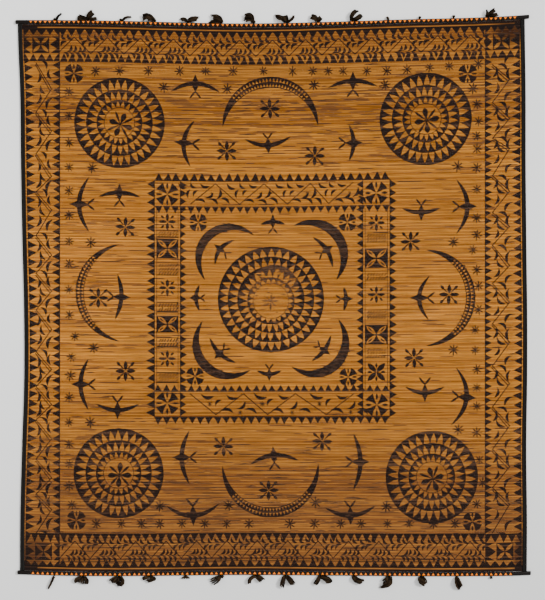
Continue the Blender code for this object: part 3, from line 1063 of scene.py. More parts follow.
# The frame's left and right columns are parted into panels: what each shows, and its top and bottom.
Panel = namedtuple("Panel", "kind high low")
LEFT_PANELS = [
    Panel("petals", 305, 250),
    Panel("hatch", 247, 223),
    Panel("leaves", 216, 146),
    Panel("hatch", 130, 85),
    Panel("petals", 70, 10),
    Panel("hatch", -12, -46),
    Panel("leaves", -61, -121),
    Panel("hatch", -139, -172),
    Panel("petals", -180, -250),
    Panel("hatch", -265, -300),
]
RIGHT_PANELS = [
    Panel("petals", 302, 246),
    Panel("hatch", 238, 202),
    Panel("leaves", 181, 111),
    Panel("hatch", 97, 68),
    Panel("petals", 48, -16),
    Panel("hatch", -38, -76),
    Panel("leaves", -94, -164),
    Panel("hatch", -176, -212),
    Panel("cross", -228, -298),
]
PANEL_INSET = 8
PANEL_FLOWER = 33
# How far a column's lines stop from the bands, and how far a hatched panel stays from those lines.
COLUMN_END_GAP = 4
HATCH_INSET = 2
# Rows of fine strokes: about how tall a row is, the bare space above and below them and at their two ends, a
# stroke's width, its lean, its height as a share of the row's, and the way from one to the next.
HATCH_ROW = 14
HATCH_SPACE = 2
HATCH_ENDS = (3, 5)
HATCH_STROKE = 4.8
HATCH_LEAN = (5, 9)
HATCH_HEIGHT = (0.75, 0.95)
HATCH_PITCH = (9.6, 10.6)


def hatch(left, right, low, high):
    """Rows of fine slanted strokes between two thin lines."""
    for run in (high, low):
        stripe([(left, run), (right, run)], THIN_LINE)
    rows = max(2, round((high - low) / HATCH_ROW))
    row_height = (high - low - 2 * HATCH_SPACE) / rows
    for row in range(rows):
        foot = low + HATCH_SPACE + row_height * row
        x = left + HATCH_ENDS[0]
        while x < right - HATCH_ENDS[1]:
            lean = hand.uniform(*HATCH_LEAN)
            head = foot + row_height * hand.uniform(*HATCH_HEIGHT)
            far = x + HATCH_STROKE
            dye.lay([(x, foot), (far, foot), (far + lean, head), (x + lean, head)])
            x += hand.uniform(*HATCH_PITCH)


def column(x_outer, x_inner, panels):
    """One side of the inner frame between its corner squares."""
    left, right = sorted((x_outer, x_inner))
    left += PANEL_INSET
    right -= PANEL_INSET
    middle = (left + right) / 2
    top = on_field(middle, FRAME_INNER["top"] - COLUMN_END_GAP)[1]
    bottom = on_field(middle, FRAME_INNER["bottom"] + COLUMN_END_GAP)[1]
    for x in (left, right):
        stripe([(x, bottom), (x, top)], COLUMN_LINE)
    for kind, high, low in panels:
        run_high = on_field(middle, high)[1]
        run_low = on_field(middle, low)[1]
        centre = np.array((middle, (run_high + run_low) / 2))
        if kind == "hatch":
            hatch(left + HATCH_INSET, right - HATCH_INSET, run_low, run_high)
        elif kind == "petals":
            eight_petals(centre, PANEL_FLOWER)
        elif kind == "cross":
            crossed_petals(centre, PANEL_FLOWER)
        else:
            leaf_square(centre, (right - left) / 2 - 1, (run_high - run_low) / 2)


def inner_frame():
    left, right = FRAME_OUTER["left"], FRAME_OUTER["right"]
    inner_left, inner_right = FRAME_INNER["left"], FRAME_INNER["right"]
    top, bottom = (on_field(0, FRAME_OUTER[side])[1] for side in ("top", "bottom"))
    inner_top, inner_bottom = (on_field(0, FRAME_INNER[side])[1] for side in ("top", "bottom"))
    for start, end, row in (
        ((left, top), (right, top), OUTER_TEETH["top"]),
        ((right, top), (right, bottom), OUTER_TEETH["right"]),
        ((right, bottom), (left, bottom), OUTER_TEETH["bottom"]),
        ((left, bottom), (left, top), OUTER_TEETH["left"]),
        ((right, inner_top), (left, inner_top), INNER_TEETH["top"]),
        ((inner_right, inner_bottom), (inner_right, inner_top), INNER_TEETH["right"]),
        ((left, inner_bottom), (right, inner_bottom), INNER_TEETH["bottom"]),
        ((inner_left, inner_top), (inner_left, inner_bottom), INNER_TEETH["left"]),
    ):
        teeth(straight(start, end), *row)
    for run in (top, inner_top, inner_bottom, bottom):
        stripe([(left, run), (right, run)], FRAME_LINE)
    for x in (left, inner_left, inner_right, right):
        stripe([(x, bottom), (x, top)], FRAME_LINE)
    for low, high in ((inner_top, top), (bottom, inner_bottom)):
        low += FRAME_END_GAP
        high -= FRAME_END_GAP
        teeth(straight((inner_left, high), (inner_left, low)), *FRAME_END_TEETH)
        teeth(straight((inner_right, low), (inner_right, high)), *FRAME_END_TEETH)
    for spot in FRAME_CORNERS:
        rosette(*spot, FRAME_ROSETTE, NARROW_WEDGE)
    column(left, inner_left, LEFT_PANELS)
    column(right, inner_right, RIGHT_PANELS)

    def on_top_band(along, across):
        return np.array((along, (inner_top + top) / 2 + across))

    def on_bottom_band(along, across):
        return np.array((along, (inner_bottom + bottom) / 2 + across))

    vine(FRAME_TOP_TURNS, *FRAME_TOP_REACH, on_top_band, 0, FRAME_TOP_STROKES, FRAME_TOP_DOTS)
    vine(FRAME_BOTTOM_TURNS, *FRAME_BOTTOM_REACH, on_bottom_band, 0, FRAME_BOTTOM_STROKES, FRAME_BOTTOM_DOTS)
    low, high = FRAME_BOTTOM_REACH
    line = [on_bottom_band(FRAME_BOTTOM_START, high), on_bottom_band(FRAME_BOTTOM_TURNS[0], low)]
    stripe(line, VINE_LINE)


def main_figures():
    cane_marks()
    loose_figures()
    inner_frame()
    borders()


def slat_section(half, height):
    """A slat's lines round its section, as (across, up)."""
    top = half * SLAT_TOP_SHARE
    side = height * SLAT_SIDE_SHARE
    return [(-half, 0), (half, 0), (half, side), (top, height), (-top, height), (-half, side)]


# Each line's share of the way round a slat, on its strip of the texture, and the facets that take dye.
SLAT_SHARES = (0, 0.1, 0.15, 0.4, 0.7, 0.95, 1)
SLAT_FACETS = (2, 3, 4)
TEXTURE_MARGIN = 0.02
STRIP_MARGIN = 0.04


class Body:
    """A mesh in the making, with a shade for each of its points."""

    def __init__(self):
        self.points = []
        self.faces = []
        self.shade = []

    def make(self, name, materials, sharp):
        mesh = bpy.data.meshes.new(name)
        mesh.from_pydata([(x * MM, y * MM, z * MM) for x, y, z in self.points], [], self.faces)
        shade = mesh.attributes.new("shade", "FLOAT", "POINT")
        shade.data.foreach_set("value", self.shade)
        for material in materials:
            mesh.materials.append(material)
        mesh.shade_smooth()
        mesh.set_sharp_from_angle(angle=math.radians(sharp))
        return add_object(name, mesh)


class LongBody(Body):
    """Closed bodies that run along an edge of the mat. Each facet's changes of tone fall on vertices that it
    shares with its neighbours."""

    def __init__(self):
        super().__init__()
        self.along = []
        self.tones = []
        self.corners = []

    def add(self, cuts, stations, place, shares, shade=0.5):
        """cuts holds, for each facet, (place on its own line, place on the next line, tone after). place
        takes a line's number and places along it to x, y and z. shares are the lines' heights on the
        texture."""
        count = len(cuts)
        marks = [set(stations) for line in range(count)]
        for facet in range(count):
            marks[facet].update(near for near, far, tone in cuts[facet])
            marks[(facet + 1) % count].update(far for near, far, tone in cuts[facet])
        places = [sorted(line) for line in marks]
        first = []
        for line in range(count):
            first.append(len(self.points))
            points = np.broadcast_arrays(*place(line, np.array(places[line])))
            self.points += np.column_stack(points).tolist()
            self.along += places[line]
        self.shade += [shade] * (len(self.points) - first[0])
        for facet in range(count):
            ahead = (facet + 1) % count
            for (near0, far0, tone), (near1, far1, _) in zip(cuts[facet], cuts[facet][1:]):
                own = range(bisect_left(places[facet], near0), bisect_left(places[facet], near1) + 1)
                other = range(bisect_left(places[ahead], far0), bisect_left(places[ahead], far1) + 1)
                if len(own) + len(other) < 3:
                    continue
                face = [(first[ahead] + index, shares[facet + 1]) for index in other]
                face += [(first[facet] + index, shares[facet]) for index in reversed(own)]
                self.add_face(face, tone)
        start = [(first[line], shares[0]) for line in reversed(range(count))]
        end = [(first[line] + len(places[line]) - 1, shares[0]) for line in range(count)]
        self.add_face(start, cuts[0][0][2])
        self.add_face(end, cuts[0][0][2])

    def add_face(self, face, tone):
        self.faces.append([vertex for vertex, share in face])
        self.tones.append(tone)
        self.corners += [(self.along[vertex], share) for vertex, share in face]

    def make(self, name, materials, sharp=42):
        obj = super().make(name, materials, sharp)
        obj.data.polygons.foreach_set("material_index", self.tones)
        low, high = min(self.along), max(self.along)
        corners = [((along - low) / (high - low), share) for along, share in self.corners]
        layer = obj.data.uv_layers.new(name="OFBake")
        layer.data.foreach_set("uv", np.array(corners, dtype=np.float32).ravel())
        return obj


def add_object(name, data):
    obj = bpy.data.objects.new(name, data)
    bpy.context.scene.collection.objects.link(obj)
    return obj


def with_stations(cuts, stations):
    """The cuts with the stations that lie a millimetre clear of them, so that a facet's faces stay short."""
    filled = [cuts[0]]
    for near, far, tone in cuts[1:]:
        last_near, last_far, last_tone = filled[-1]
        for place in stations:
            if max(last_near, last_far) + 1 < place < min(near, far) - 1:
                filled.append((place, place, last_tone))
        filled.append((near, far, tone))
    return filled


def facet_cuts(changes, reach, start, end):
    """A patterned facet's cuts. reach is half the facet's width, over which a figure's edge slants."""
    cuts = [(start, start, BARE)]
    for place, slant, tone in changes:
        near = min(max(place - slant * reach, cuts[-1][0]), end)
        far = min(max(place + slant * reach, cuts[-1][1]), end)
        cuts.append((round(near, 2), round(far, 2), tone))
    cuts.append((end, end, BARE))
    return cuts


Slat = namedtuple("Slat", "run half height shade thin")
# How much slats vary: the step from one's shade to the next one's, and their widths and heights. The share
# of them whose dye is thin, apart from some at each end of the mat.
SHADE_STEP = (0.25, 0.75)
SLAT_WIDTHS = (0.95, 1)
SLAT_HEIGHTS = (0.93, 1)
THIN_DYE_SHARE = 0.15
WELL_DYED = 5


def add_slat(body, slat, row_changes, strip, strips):
    """Adds a slat, its texture on one of a band's strips."""
    lines = slat_section(slat.half, slat.height)
    start, end = (round(place, 2) for place in loom.ends(slat.run))
    inside = [round(x, 2) for x in loom.stations if start + STATION_CLEARANCE < x < end - STATION_CLEARANCE]
    stations = [start, *inside, end]
    cuts = [[(x, x, BARE) for x in stations] for _ in lines]
    for facet, changes in zip(SLAT_FACETS, row_changes):
        reach = (lines[facet + 1][0] - lines[facet][0]) / 2
        if slat.thin:
            changes = [(place, slant, SOFT if tone == DEEP else tone) for place, slant, tone in changes]
        cuts[facet] = with_stations(facet_cuts(changes, reach, start, end), inside)
    runs = [loom.y_of(np.array(stations), slat.run + across) for across, _ in lines]

    def place(line, along):
        return along, np.interp(along, stations, runs[line]), lines[line][1]

    rows = [(strip + STRIP_MARGIN + (1 - 2 * STRIP_MARGIN) * share) / strips for share in SLAT_SHARES]
    body.add(cuts, stations, place, rows, slat.shade)


def slats(materials):
    """The slats from the bottom edge to the top one, in bands, each with its length along the threads."""
    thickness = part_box("slat_field")[1].z / MM
    count = round(loom.length / SLAT_PITCH)
    pitch = loom.length / count
    shapes = []
    runs = []
    shade = 0.5
    for number in range(count):
        shade = (shade + hand.uniform(*SHADE_STEP)) % 1
        run = (number + 0.5) * pitch - loom.length / 2
        half = pitch / 2 * SLAT_FILL * hand.uniform(*SLAT_WIDTHS)
        height = thickness * hand.uniform(*SLAT_HEIGHTS)
        thin = hand.random() < THIN_DYE_SHARE and WELL_DYED <= number < count - WELL_DYED
        shapes.append(Slat(run, half, height, shade, thin))
        middle = half * (1 + SLAT_TOP_SHARE) / 2
        runs += [run - middle, run, run + middle]
    rows = [dye.row_changes(crossed) for crossed in dye.crossings(np.array(runs))]
    bands = []
    edges = np.linspace(0, count, BAND_COUNT + 1).round().astype(int)
    for band, (first, last) in enumerate(zip(edges, edges[1:]), 1):
        body = LongBody()
        for number in range(first, last):
            low, top, high = rows[3 * number: 3 * number + 3]
            add_slat(body, shapes[number], (high, top, low), number - first, last - first)
        bands.append((body.make(f"slats_{band}", materials), (last - first) * pitch))
    return bands


class Edge:
    """The middle line of a rod, read from its CAD body."""

    def __init__(self, node):
        rings = {}
        for vertex in node.data.vertices:
            rings.setdefault(round(vertex.co.x / MM, 1), []).append(vertex.co.y / MM)
        self.along = [x for x in sorted(rings) if max(rings[x]) - min(rings[x]) > 1]
        self.middle = [(min(rings[x]) + max(rings[x])) / 2 for x in self.along]

    def at(self, place):
        return np.interp(place, self.along, self.middle)

    def slope(self, place, reach=5):
        return float(self.at(place + reach) - self.at(place - reach)) / (2 * reach)


# A rod's section: how high its foot and its widest place are, in shares of its height. Over them it is a
# half oval. Its foot is set in a little, and its widest place is a narrow upright strip.
ROD_FOOT = 0.16
ROD_SIDE = 0.42
ROD_FOOT_INSET = 0.7
ROD_SIDE_STRIP = 0.8
ROD_BLACK = 0
ROD_POINT = 1
# The undyed points on a rod: where the first starts and the last ends, their pitch, their width at the base,
# and half way up as a share of it.
ROD_POINTS_FROM = {"rod_top": (-880, 878), "rod_bottom": (-872, 862)}
ROD_POINT_PITCH = 17.3
ROD_POINT_BASE = 10.8
ROD_POINT_WAIST = 0.55
ROD_POINT_WIDTHS = (0.85, 1.12)
ROD_POINT_SHIFT = 1
ROD_TIP_SHIFT = 0.6
# How far in from the rod's outer side its points have their bases, middles and tips.
ROD_POINT_LINES = (3.8, 7.8, 12.2)
ROD_LINES = (0.5, 1.9, *ROD_POINT_LINES, 12.9, 14.0)
# A rod narrows a little at its ends, and its surface ripples along it.
ROD_END_INSET = 1.6
ROD_END_SHRINK = 0.88
ROD_RIPPLE = 0.012
ROD_RIPPLE_WAVES = (37, 101)


def rod_section():
    """Points (inward, up) round a cane rod that is flattened underneath, from its outer side."""
    half = ROD_WIDTH / 2
    side = ROD_SIDE * ROD_HEIGHT
    rise = ROD_HEIGHT - side
    foot = [
        (half - ROD_FLAT / 2, 0),
        (ROD_FOOT_INSET, ROD_FOOT * ROD_HEIGHT),
        (0, side - ROD_SIDE_STRIP),
        (0, side),
    ]
    arch = [(across, side + rise * math.sqrt(1 - (across / half - 1) ** 2)) for across in ROD_LINES]
    mirrored = [(ROD_WIDTH - across, up) for across, up in reversed(foot)]
    return foot + arch + mirrored, len(foot) + ROD_LINES.index(ROD_POINT_LINES[0])


def rod(name, inward, materials):
    """A black cane rod with a row of undyed points towards the mat. inward is -1 for the top rod."""
    edge = Edge(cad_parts[name])
    section, base_line = rod_section()
    start, end = edge.along[0], edge.along[-1]
    stations = sorted({*edge.along, start + ROD_END_INSET, end - ROD_END_INSET})
    cuts = [[(x, x, ROD_BLACK) for x in stations] for _ in section]
    first, last = ROD_POINTS_FROM[name]
    count = round((last - first) / ROD_POINT_PITCH)
    pitch = (last - first) / count
    base_cuts = [(start, start, ROD_BLACK)]
    tip_cuts = [(start, start, ROD_BLACK)]
    for point in range(count):
        middle = first + pitch * (point + 0.5) + hand.uniform(-ROD_POINT_SHIFT, ROD_POINT_SHIFT)
        half = ROD_POINT_BASE / 2 * hand.uniform(*ROD_POINT_WIDTHS)
        tip = round(middle + hand.uniform(-ROD_TIP_SHIFT, ROD_TIP_SHIFT), 2)
        for way, after in ((-1, ROD_POINT), (1, ROD_BLACK)):
            waist = round(middle + way * half * ROD_POINT_WAIST, 2)
            base_cuts.append((round(middle + way * half, 2), waist, after))
            tip_cuts.append((waist, tip, after))
    cuts[base_line] = [*base_cuts, (end, end, ROD_BLACK)]
    cuts[base_line + 1] = [*tip_cuts, (end, end, ROD_BLACK)]
    shrink_at = (start, start + ROD_END_INSET, end - ROD_END_INSET, end)
    short, long = ROD_RIPPLE_WAVES

    def place(line, along):
        across, up = section[line]
        shrink = np.interp(along, shrink_at, (ROD_END_SHRINK, 1, 1, ROD_END_SHRINK))
        ripple = 1 - ROD_RIPPLE * (1 + np.sin(along / short) * np.sin(along / long + 2))
        return along, edge.at(along) + inward * (across - ROD_WIDTH / 2) * shrink, up * shrink * ripple

    body = LongBody()
    body.add(cuts, stations, place, np.linspace(TEXTURE_MARGIN, 1 - TEXTURE_MARGIN, len(section) + 1))
    return body.make(name + "_cane", materials, 50)


# The plait of a binding: its pitch, the depth of its relief, and the steps along it.
PLAIT_PITCH = 7.5
PLAIT_DEPTH = 0.9
PLAIT_STEP = 1.9
# About how far above and below its middle the mat's corners lie.
MAT_CORNER_Y = 990


def binding_section():
    """Points (inward, up) round a side binding with two rounded ridges, from its outer side, and how much of
    the plait's relief each one takes."""
    middle = BINDING_WIDTH / 2
    ridge = middle / 2
    return [
        (0.8, 0, 0),
        (0, 1.2, 0),
        (0, 0.62 * BINDING_HEIGHT, 0.3),
        (0.35 * ridge, 0.9 * BINDING_HEIGHT, 0.8),
        (ridge, BINDING_HEIGHT, 1),
        (1.65 * ridge, 0.88 * BINDING_HEIGHT, 0.8),
        (middle, BINDING_VALLEY, 0.2),
        (middle + 0.35 * ridge, 0.88 * BINDING_HEIGHT, 0.8),
        (middle + ridge, 0.96 * BINDING_HEIGHT, 1),
        (middle + 1.65 * ridge, 0.84 * BINDING_HEIGHT, 0.8),
        (BINDING_WIDTH, 0.56 * BINDING_HEIGHT, 0.3),
        (BINDING_WIDTH, 0, 0),
    ]


def binding(name, side, material):
    """A plaited binding down one side of the mat. side is -1 for the left one."""
    section = binding_section()
    inner_x = loom.left_at if side < 0 else loom.right_at

    def inner_side(y):
        return inner_x(y) + side * GAP

    low = float(loom.low(inner_side(-MAT_CORNER_Y)))
    high = float(loom.high(inner_side(MAT_CORNER_Y)))
    count = round((high - low) / PLAIT_STEP)
    stations = [round(place, 2) for place in np.linspace(low, high, count + 1)]
    cuts = [[(y, y, 0) for y in stations] for _ in section]

    def place(line, along):
        across, up, relief = section[line]
        lean = abs(across - BINDING_WIDTH / 2) / PLAIT_PITCH
        twist = 0.5 + 0.5 * np.sin(math.tau * (along / PLAIT_PITCH + lean))
        return inner_side(along) + side * (BINDING_WIDTH - across), along, up - relief * PLAIT_DEPTH * twist

    body = LongBody()
    body.add(cuts, stations, place, np.linspace(TEXTURE_MARGIN, 1 - TEXTURE_MARGIN, len(section) + 1))
    return body.make(name + "_plait", [material], 60)


Lock = namedtuple("Lock", "bend_x bend_out tip_x tip_out strands tip_width lift")
Tuft = namedtuple("Tuft", "root locks")

# Each lock of strands leaves its tuft's root towards its bend and ends at its tip. Places are in
# millimetres, along the rod from the root (x) and away from the rod (out), and lift is how high the lock
# stands.
TOP_TUFTS = [
    Tuft(-779, [Lock(-7, 2, -11, 5, 1, 0, 4), Lock(5, 12, 23, 26, 1, 0, 9)]),
    Tuft(
        -667,
        [
            Lock(-24, 6, -37, 12, 4, 15, 10),
            Lock(8, 16, 22, 32, 5, 16, 14),
            Lock(20, 4, 39, 8, 2, 5, 8),
        ],
    ),
    Tuft(-542, [Lock(-6, 3, -10, 6, 1, 0, 4), Lock(12, 15, 37, 13, 1, 0, 10)]),
    Tuft(-427, [Lock(-22, 29, -47, 8, 5, 17, 13), Lock(-10, 8, -30, 5, 2, 5, 6)]),
    Tuft(-306, [Lock(-14, 15, -27, 6, 4, 10, 10), Lock(10, 13, 41, 13, 5, 14, 12)]),
    Tuft(-188, [Lock(-20, 4, -44, 4, 3, 7, 7), Lock(0, 23, -39, 19, 5, 17, 14)]),
    Tuft(-70, [Lock(-4, 40, -41, 16, 5, 17, 14), Lock(-12, 20, -32, 8, 3, 9, 10)]),
    Tuft(
        50,
        [
            Lock(-14, 19, -46, 23, 4, 12, 13),
            Lock(-8, 16, -8, 28, 4, 15, 13),
            Lock(30, 17, 21, 28, 3, 6, 10),
        ],
    ),
    Tuft(162, [Lock(-8, 19, -32, 20, 4, 14, 13), Lock(6, 12, 12, 17, 4, 11, 10)]),
    Tuft(286, [Lock(-8, 22, 20, 41, 4, 11, 15), Lock(26, 7, 32, 24, 4, 12, 11)]),
    Tuft(417, [Lock(-4, 6, -9, 11, 1, 0, 5)]),
    Tuft(528, [Lock(0, 6, 1, 9, 2, 4, 5)]),
    Tuft(650, [Lock(0, 6, 0, 10, 2, 4, 5)]),
    Tuft(774, [Lock(-3, 14, -7, 28, 1, 0, 10), Lock(8, 12, 28, 28, 4, 10, 14), Lock(18, 5, 39, 9, 3, 7, 8)]),
]
BOTTOM_TUFTS = [
    Tuft(-787, [Lock(-7, 22, -22, 49, 1, 0, 8)]),
    Tuft(
        -684,
        [
            Lock(-26, 9, -22, 25, 4, 12, 12),
            Lock(-2, 12, -8, 30, 3, 13, 11),
            Lock(25, 16, 6, 31, 4, 11, 14),
        ],
    ),
    Tuft(
        -554,
        [
            Lock(-18, 9, -32, 22, 4, 13, 12),
            Lock(-2, 12, -14, 33, 3, 11, 11),
            Lock(26, 20, -6, 37, 4, 12, 15),
        ],
    ),
    Tuft(-445, [Lock(-16, 6, -27, 10, 3, 7, 8), Lock(48, 6, -26, 22, 3, 8, 12)]),
    Tuft(-314, [Lock(0, 8, 0, 11, 4, 24, 6)]),
    Tuft(-191, [Lock(-6, 12, -34, 27, 4, 20, 14), Lock(10, 5, 14, 8, 2, 5, 6)]),
    Tuft(-62, [Lock(-30, 14, -20, 36, 3, 8, 13), Lock(16, 9, 27, 23, 4, 16, 12)]),
    Tuft(45, [Lock(-11, 18, -14, 52, 3, 11, 14), Lock(17, 11, 29, 36, 4, 14, 12)]),
    Tuft(171, [Lock(-6, 14, -26, 38, 3, 10, 12), Lock(34, 9, 32, 30, 5, 19, 15)]),
    Tuft(292, [Lock(0, 10, 14, 22, 3, 11, 11), Lock(5, 17, 36, 22, 5, 15, 13)]),
    Tuft(418, [Lock(-8, 10, -24, 26, 3, 12, 11), Lock(12, 31, -36, 33, 5, 17, 15)]),
    Tuft(532, [Lock(-9, 18, 24, 32, 4, 13, 13), Lock(12, 9, 16, 24, 3, 11, 11)]),
    Tuft(661, [Lock(1, 22, 16, 46, 5, 17, 14)]),
    Tuft(785, [Lock(0, 6, 0, 9, 2, 4, 4)]),
]
# A tuft's head is a low dome over its hole. It grows with the number of strands.
ROOT_SHIFT = -0.5
ROOT_RADIUS = 3.0
ROOT_RADIUS_EACH = 0.6
ROOT_HEIGHT = 4.2
ROOT_SIDES = 12
ROOT_LEVELS = (0, 0.35, 0.7, 0.92)
ROOT_WIDTH_SHARE = 0.8
ROOT_SHADE = 0.3
# Strands leave the head at a share of its radius and of its height, and a little away from the rod.
LEAVE_RADIUS_SHARE = 0.85
LEAVE_HEIGHT_SHARE = 0.7
LEAVE_OUT = 0.4
# How far the head itself is from the rod.
ROOT_OUT = 0.1
# The directions in which strands leave the head: the way from one to the next, and the least angle to the
# rod.
FAN_STEP = 24
FAN_LOWEST = 16
# A strand: the height of its tip, its width, how much shorter it may be than its lock, how its lift varies,
# and how much wider than its tips a lock is at its bend.
STRAND_TIP_HEIGHT = 2.4
STRAND_STEPS = 14
LONE_STRAND_WIDTH = 5.4
STRAND_WIDTHS = (2.8, 4.0)
STRAND_SHORT = 0.16
STRAND_LIFT = (0.75, 1)
BEND_WIDTH_SHARE = 1.3
# The curve that a strand's lift follows, and the step along a sine by which a lock's strands differ in
# length.
ARCH_RISE = 2.8
ARCH_FALL = 0.8
SHORT_STEP = 2.7
# The yarns in a strand wind round each other and taper. They draw together towards the tip, their winding is
# flattened, and they stay a little over the floor.
YARNS_IN_STRAND = 3
YARN_SIDES = 6
YARN_LENGTH = (0.93, 1.03)
YARN_TURNS = 1.1
YARN_SPREAD = 0.45
YARN_TAPER = 0.45
YARN_CLOSING = 0.3
YARN_FLATNESS = 0.6
YARN_OVER_FLOOR = 0.1


class SoftBody(Body):
    """Round tapering yarns and low domes."""

    def rings(self, rings, shade):
        """A closed body through rings of points."""
        first = len(self.points)
        sides = len(rings[0])
        for ring in rings:
            self.points += [tuple(point) for point in ring]
        self.shade += [shade] * (len(rings) * sides)
        for row in range(len(rings) - 1):
            for side in range(sides):
                here = first + row * sides + side
                nearby = first + row * sides + (side + 1) % sides
                self.faces.append((here, nearby, nearby + sides, here + sides))
        self.faces.append([first + side for side in reversed(range(sides))])
        self.faces.append([first + (len(rings) - 1) * sides + side for side in range(sides)])

    def yarn(self, path, radii, shade):
        rings = []
        angles = [math.tau * corner / YARN_SIDES for corner in range(YARN_SIDES)]
        for step, (point, radius) in enumerate(zip(path, radii)):
            before = path[max(step - 1, 0)]
            after = path[min(step + 1, len(path) - 1)]
            heading = (after - before).normalized()
            side = heading.cross(Vector((0, 0, 1))).normalized()
            up = side.cross(heading)
            ring = [point + (side * math.cos(angle) - up * math.sin(angle)) * radius for angle in angles]
            rings.append(ring)
        self.rings(rings, shade)


def fan_angles(locks):
    """The directions in which the strands leave the root, from left to right."""
    count = sum(lock.strands for lock in locks)
    first = math.degrees(math.atan2(locks[0].bend_out, locks[0].bend_x))
    last = math.degrees(math.atan2(locks[-1].bend_out, locks[-1].bend_x))
    span = min(max(first - last, (count - 1) * FAN_STEP), 180 - 2 * FAN_LOWEST)
    middle = min(max((first + last) / 2, FAN_LOWEST + span / 2), 180 - FAN_LOWEST - span / 2)
    if count == 1:
        return [middle]
    return [middle + span / 2 - span * index / (count - 1) for index in range(count)]


def leftward(way):
    return Vector((-way.y, way.x))


def strand_bend_and_tip(lock, index):
    """A strand's own bend and tip, set beside its neighbours in the lock."""
    share = 0
    if lock.strands > 1:
        share = 0.5 - index / (lock.strands - 1)
    bend = Vector((lock.bend_x, lock.bend_out))
    tip = Vector((lock.tip_x, lock.tip_out))
    shift_at_bend = leftward(tip).normalized() * share * lock.tip_width * BEND_WIDTH_SHARE
    shift_at_tip = leftward(tip - bend).normalized() * share * lock.tip_width
    return bend + shift_at_bend, tip + shift_at_tip


def strand_width(lock):
    if lock.strands == 1:
        return LONE_STRAND_WIDTH
    thinnest, thickest = STRAND_WIDTHS
    return min(max(lock.tip_width / (lock.strands - 1), thinnest), thickest)


def yarn_steps(start, bend, tip, width, lift, reach, turn_at):
    """The steps along a yarn, as (place, height, radius). turn_at is the yarn's turn round its strand."""
    for step in range(STRAND_STEPS + 1):
        t = reach * step / STRAND_STEPS
        place = start * (1 - t) ** 2 + bend * 2 * t * (1 - t) + tip * t * t
        heading = ((bend - start) * (1 - t) + (tip - bend) * t).normalized()
        spread = width * YARN_SPREAD * (1 - YARN_CLOSING * t)
        arch = lift * ARCH_RISE * t * max(1 - t, 0) ** ARCH_FALL
        middle = ROOT_HEIGHT * LEAVE_HEIGHT_SHARE * (1 - t) + STRAND_TIP_HEIGHT * t + arch
        radius = width * 0.5 * (1 - YARN_TAPER * t ** 3)
        wound = middle + math.sin(turn_at(t)) * spread * YARN_FLATNESS
        height = max(wound, radius + YARN_OVER_FLOOR)
        yield place + leftward(heading) * math.cos(turn_at(t)) * spread, height, radius


def tuft(name, root, locks, material):
    """Thread ends at one hole: locks of dark strands, each strand a few yarns side by side."""
    on_top = name.startswith("top")
    outward = 1 if on_top else -1
    edge = Edge(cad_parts["rod_top" if on_top else "rod_bottom"])
    root_x = root + ROOT_SHIFT
    base = float(edge.at(root_x)) + outward * (ROD_WIDTH / 2 + GAP)
    slope = edge.slope(root_x)

    def on_floor(place, height):
        return Vector((root_x + place.x, base + outward * place.y + slope * place.x, height))

    body = SoftBody()
    radius = ROOT_RADIUS + ROOT_RADIUS_EACH * sum(lock.strands for lock in locks)
    corners = [math.tau * side / ROOT_SIDES for side in range(ROOT_SIDES)][::outward]
    rings = []
    for level in ROOT_LEVELS:
        width = radius * ROOT_WIDTH_SHARE * math.sqrt(1 - level ** 2)
        ring = [Vector((math.cos(corner), 0.5 + 0.5 * math.sin(corner))) * width for corner in corners]
        rings.append([on_floor(place + Vector((0, ROOT_OUT)), ROOT_HEIGHT * level) for place in ring])
    body.rings(rings, ROOT_SHADE)
    angles = iter(fan_angles(locks))
    for lock in locks:
        width = strand_width(lock)
        for index in range(lock.strands):
            start = Vector(polar(1, next(angles))) * radius * LEAVE_RADIUS_SHARE + Vector((0, LEAVE_OUT))
            bend, tip = strand_bend_and_tip(lock, index)
            reach = 1 - STRAND_SHORT * abs(math.sin(SHORT_STEP * index + lock.tip_x))
            lift = lock.lift * hand.uniform(*STRAND_LIFT)
            spin = hand.uniform(0, math.tau)
            for yarn in range(YARNS_IN_STRAND):

                def turn_at(t, spin=spin, yarn=yarn):
                    return spin + math.tau * (yarn / YARNS_IN_STRAND + YARN_TURNS * t)

                yarn_reach = reach * hand.uniform(*YARN_LENGTH)
                steps = list(yarn_steps(start, bend, tip, width, lift, yarn_reach, turn_at))
                path = [on_floor(place, height) for place, height, _ in steps]
                body.yarn(path, [radius for _, _, radius in steps], hand.random())
    return body.make("ends_" + name, [material], 70)


def add_node(tree, kind, inputs=None, **settings):
    """A shader node. Its inputs are values, or other nodes' outputs that are joined to it."""
    node = tree.nodes.new(kind)
    for name, value in settings.items():
        setattr(node, name, value)
    for name, value in (inputs or {}).items():
        if isinstance(value, bpy.types.NodeSocket):
            tree.links.new(value, node.inputs[name])
        else:
            node.inputs[name].default_value = value
    return node


def new_material(name, colour, roughness, specular=0.3):
    material = bpy.data.materials.new(name)
    material.use_nodes = True
    tree = material.node_tree
    shader = tree.nodes["Principled BSDF"]
    shader.inputs["Base Color"].default_value = (*colour, 1)
    shader.inputs["Roughness"].default_value = roughness
    shader.inputs["Specular IOR Level"].default_value = specular
    return material, tree, shader


def rescaled(tree, value, from_low, from_high, to_low, to_high):
    keys = ("Value", "From Min", "From Max", "To Min", "To Max")
    inputs = dict(zip(keys, (value, from_low, from_high, to_low, to_high)))
    return add_node(tree, "ShaderNodeMapRange", inputs).outputs["Result"]


def maths(tree, operation, *values, **settings):
    node = add_node(tree, "ShaderNodeMath", dict(enumerate(values)), operation=operation, **settings)
    return node.outputs[0]


def product(tree, *values):
    total = values[0]
    for value in values[1:]:
        total = maths(tree, "MULTIPLY", total, value)
    return total


def vector_maths(tree, operation, inputs, output="Vector"):
    return add_node(tree, "ShaderNodeVectorMath", inputs, operation=operation).outputs[output]


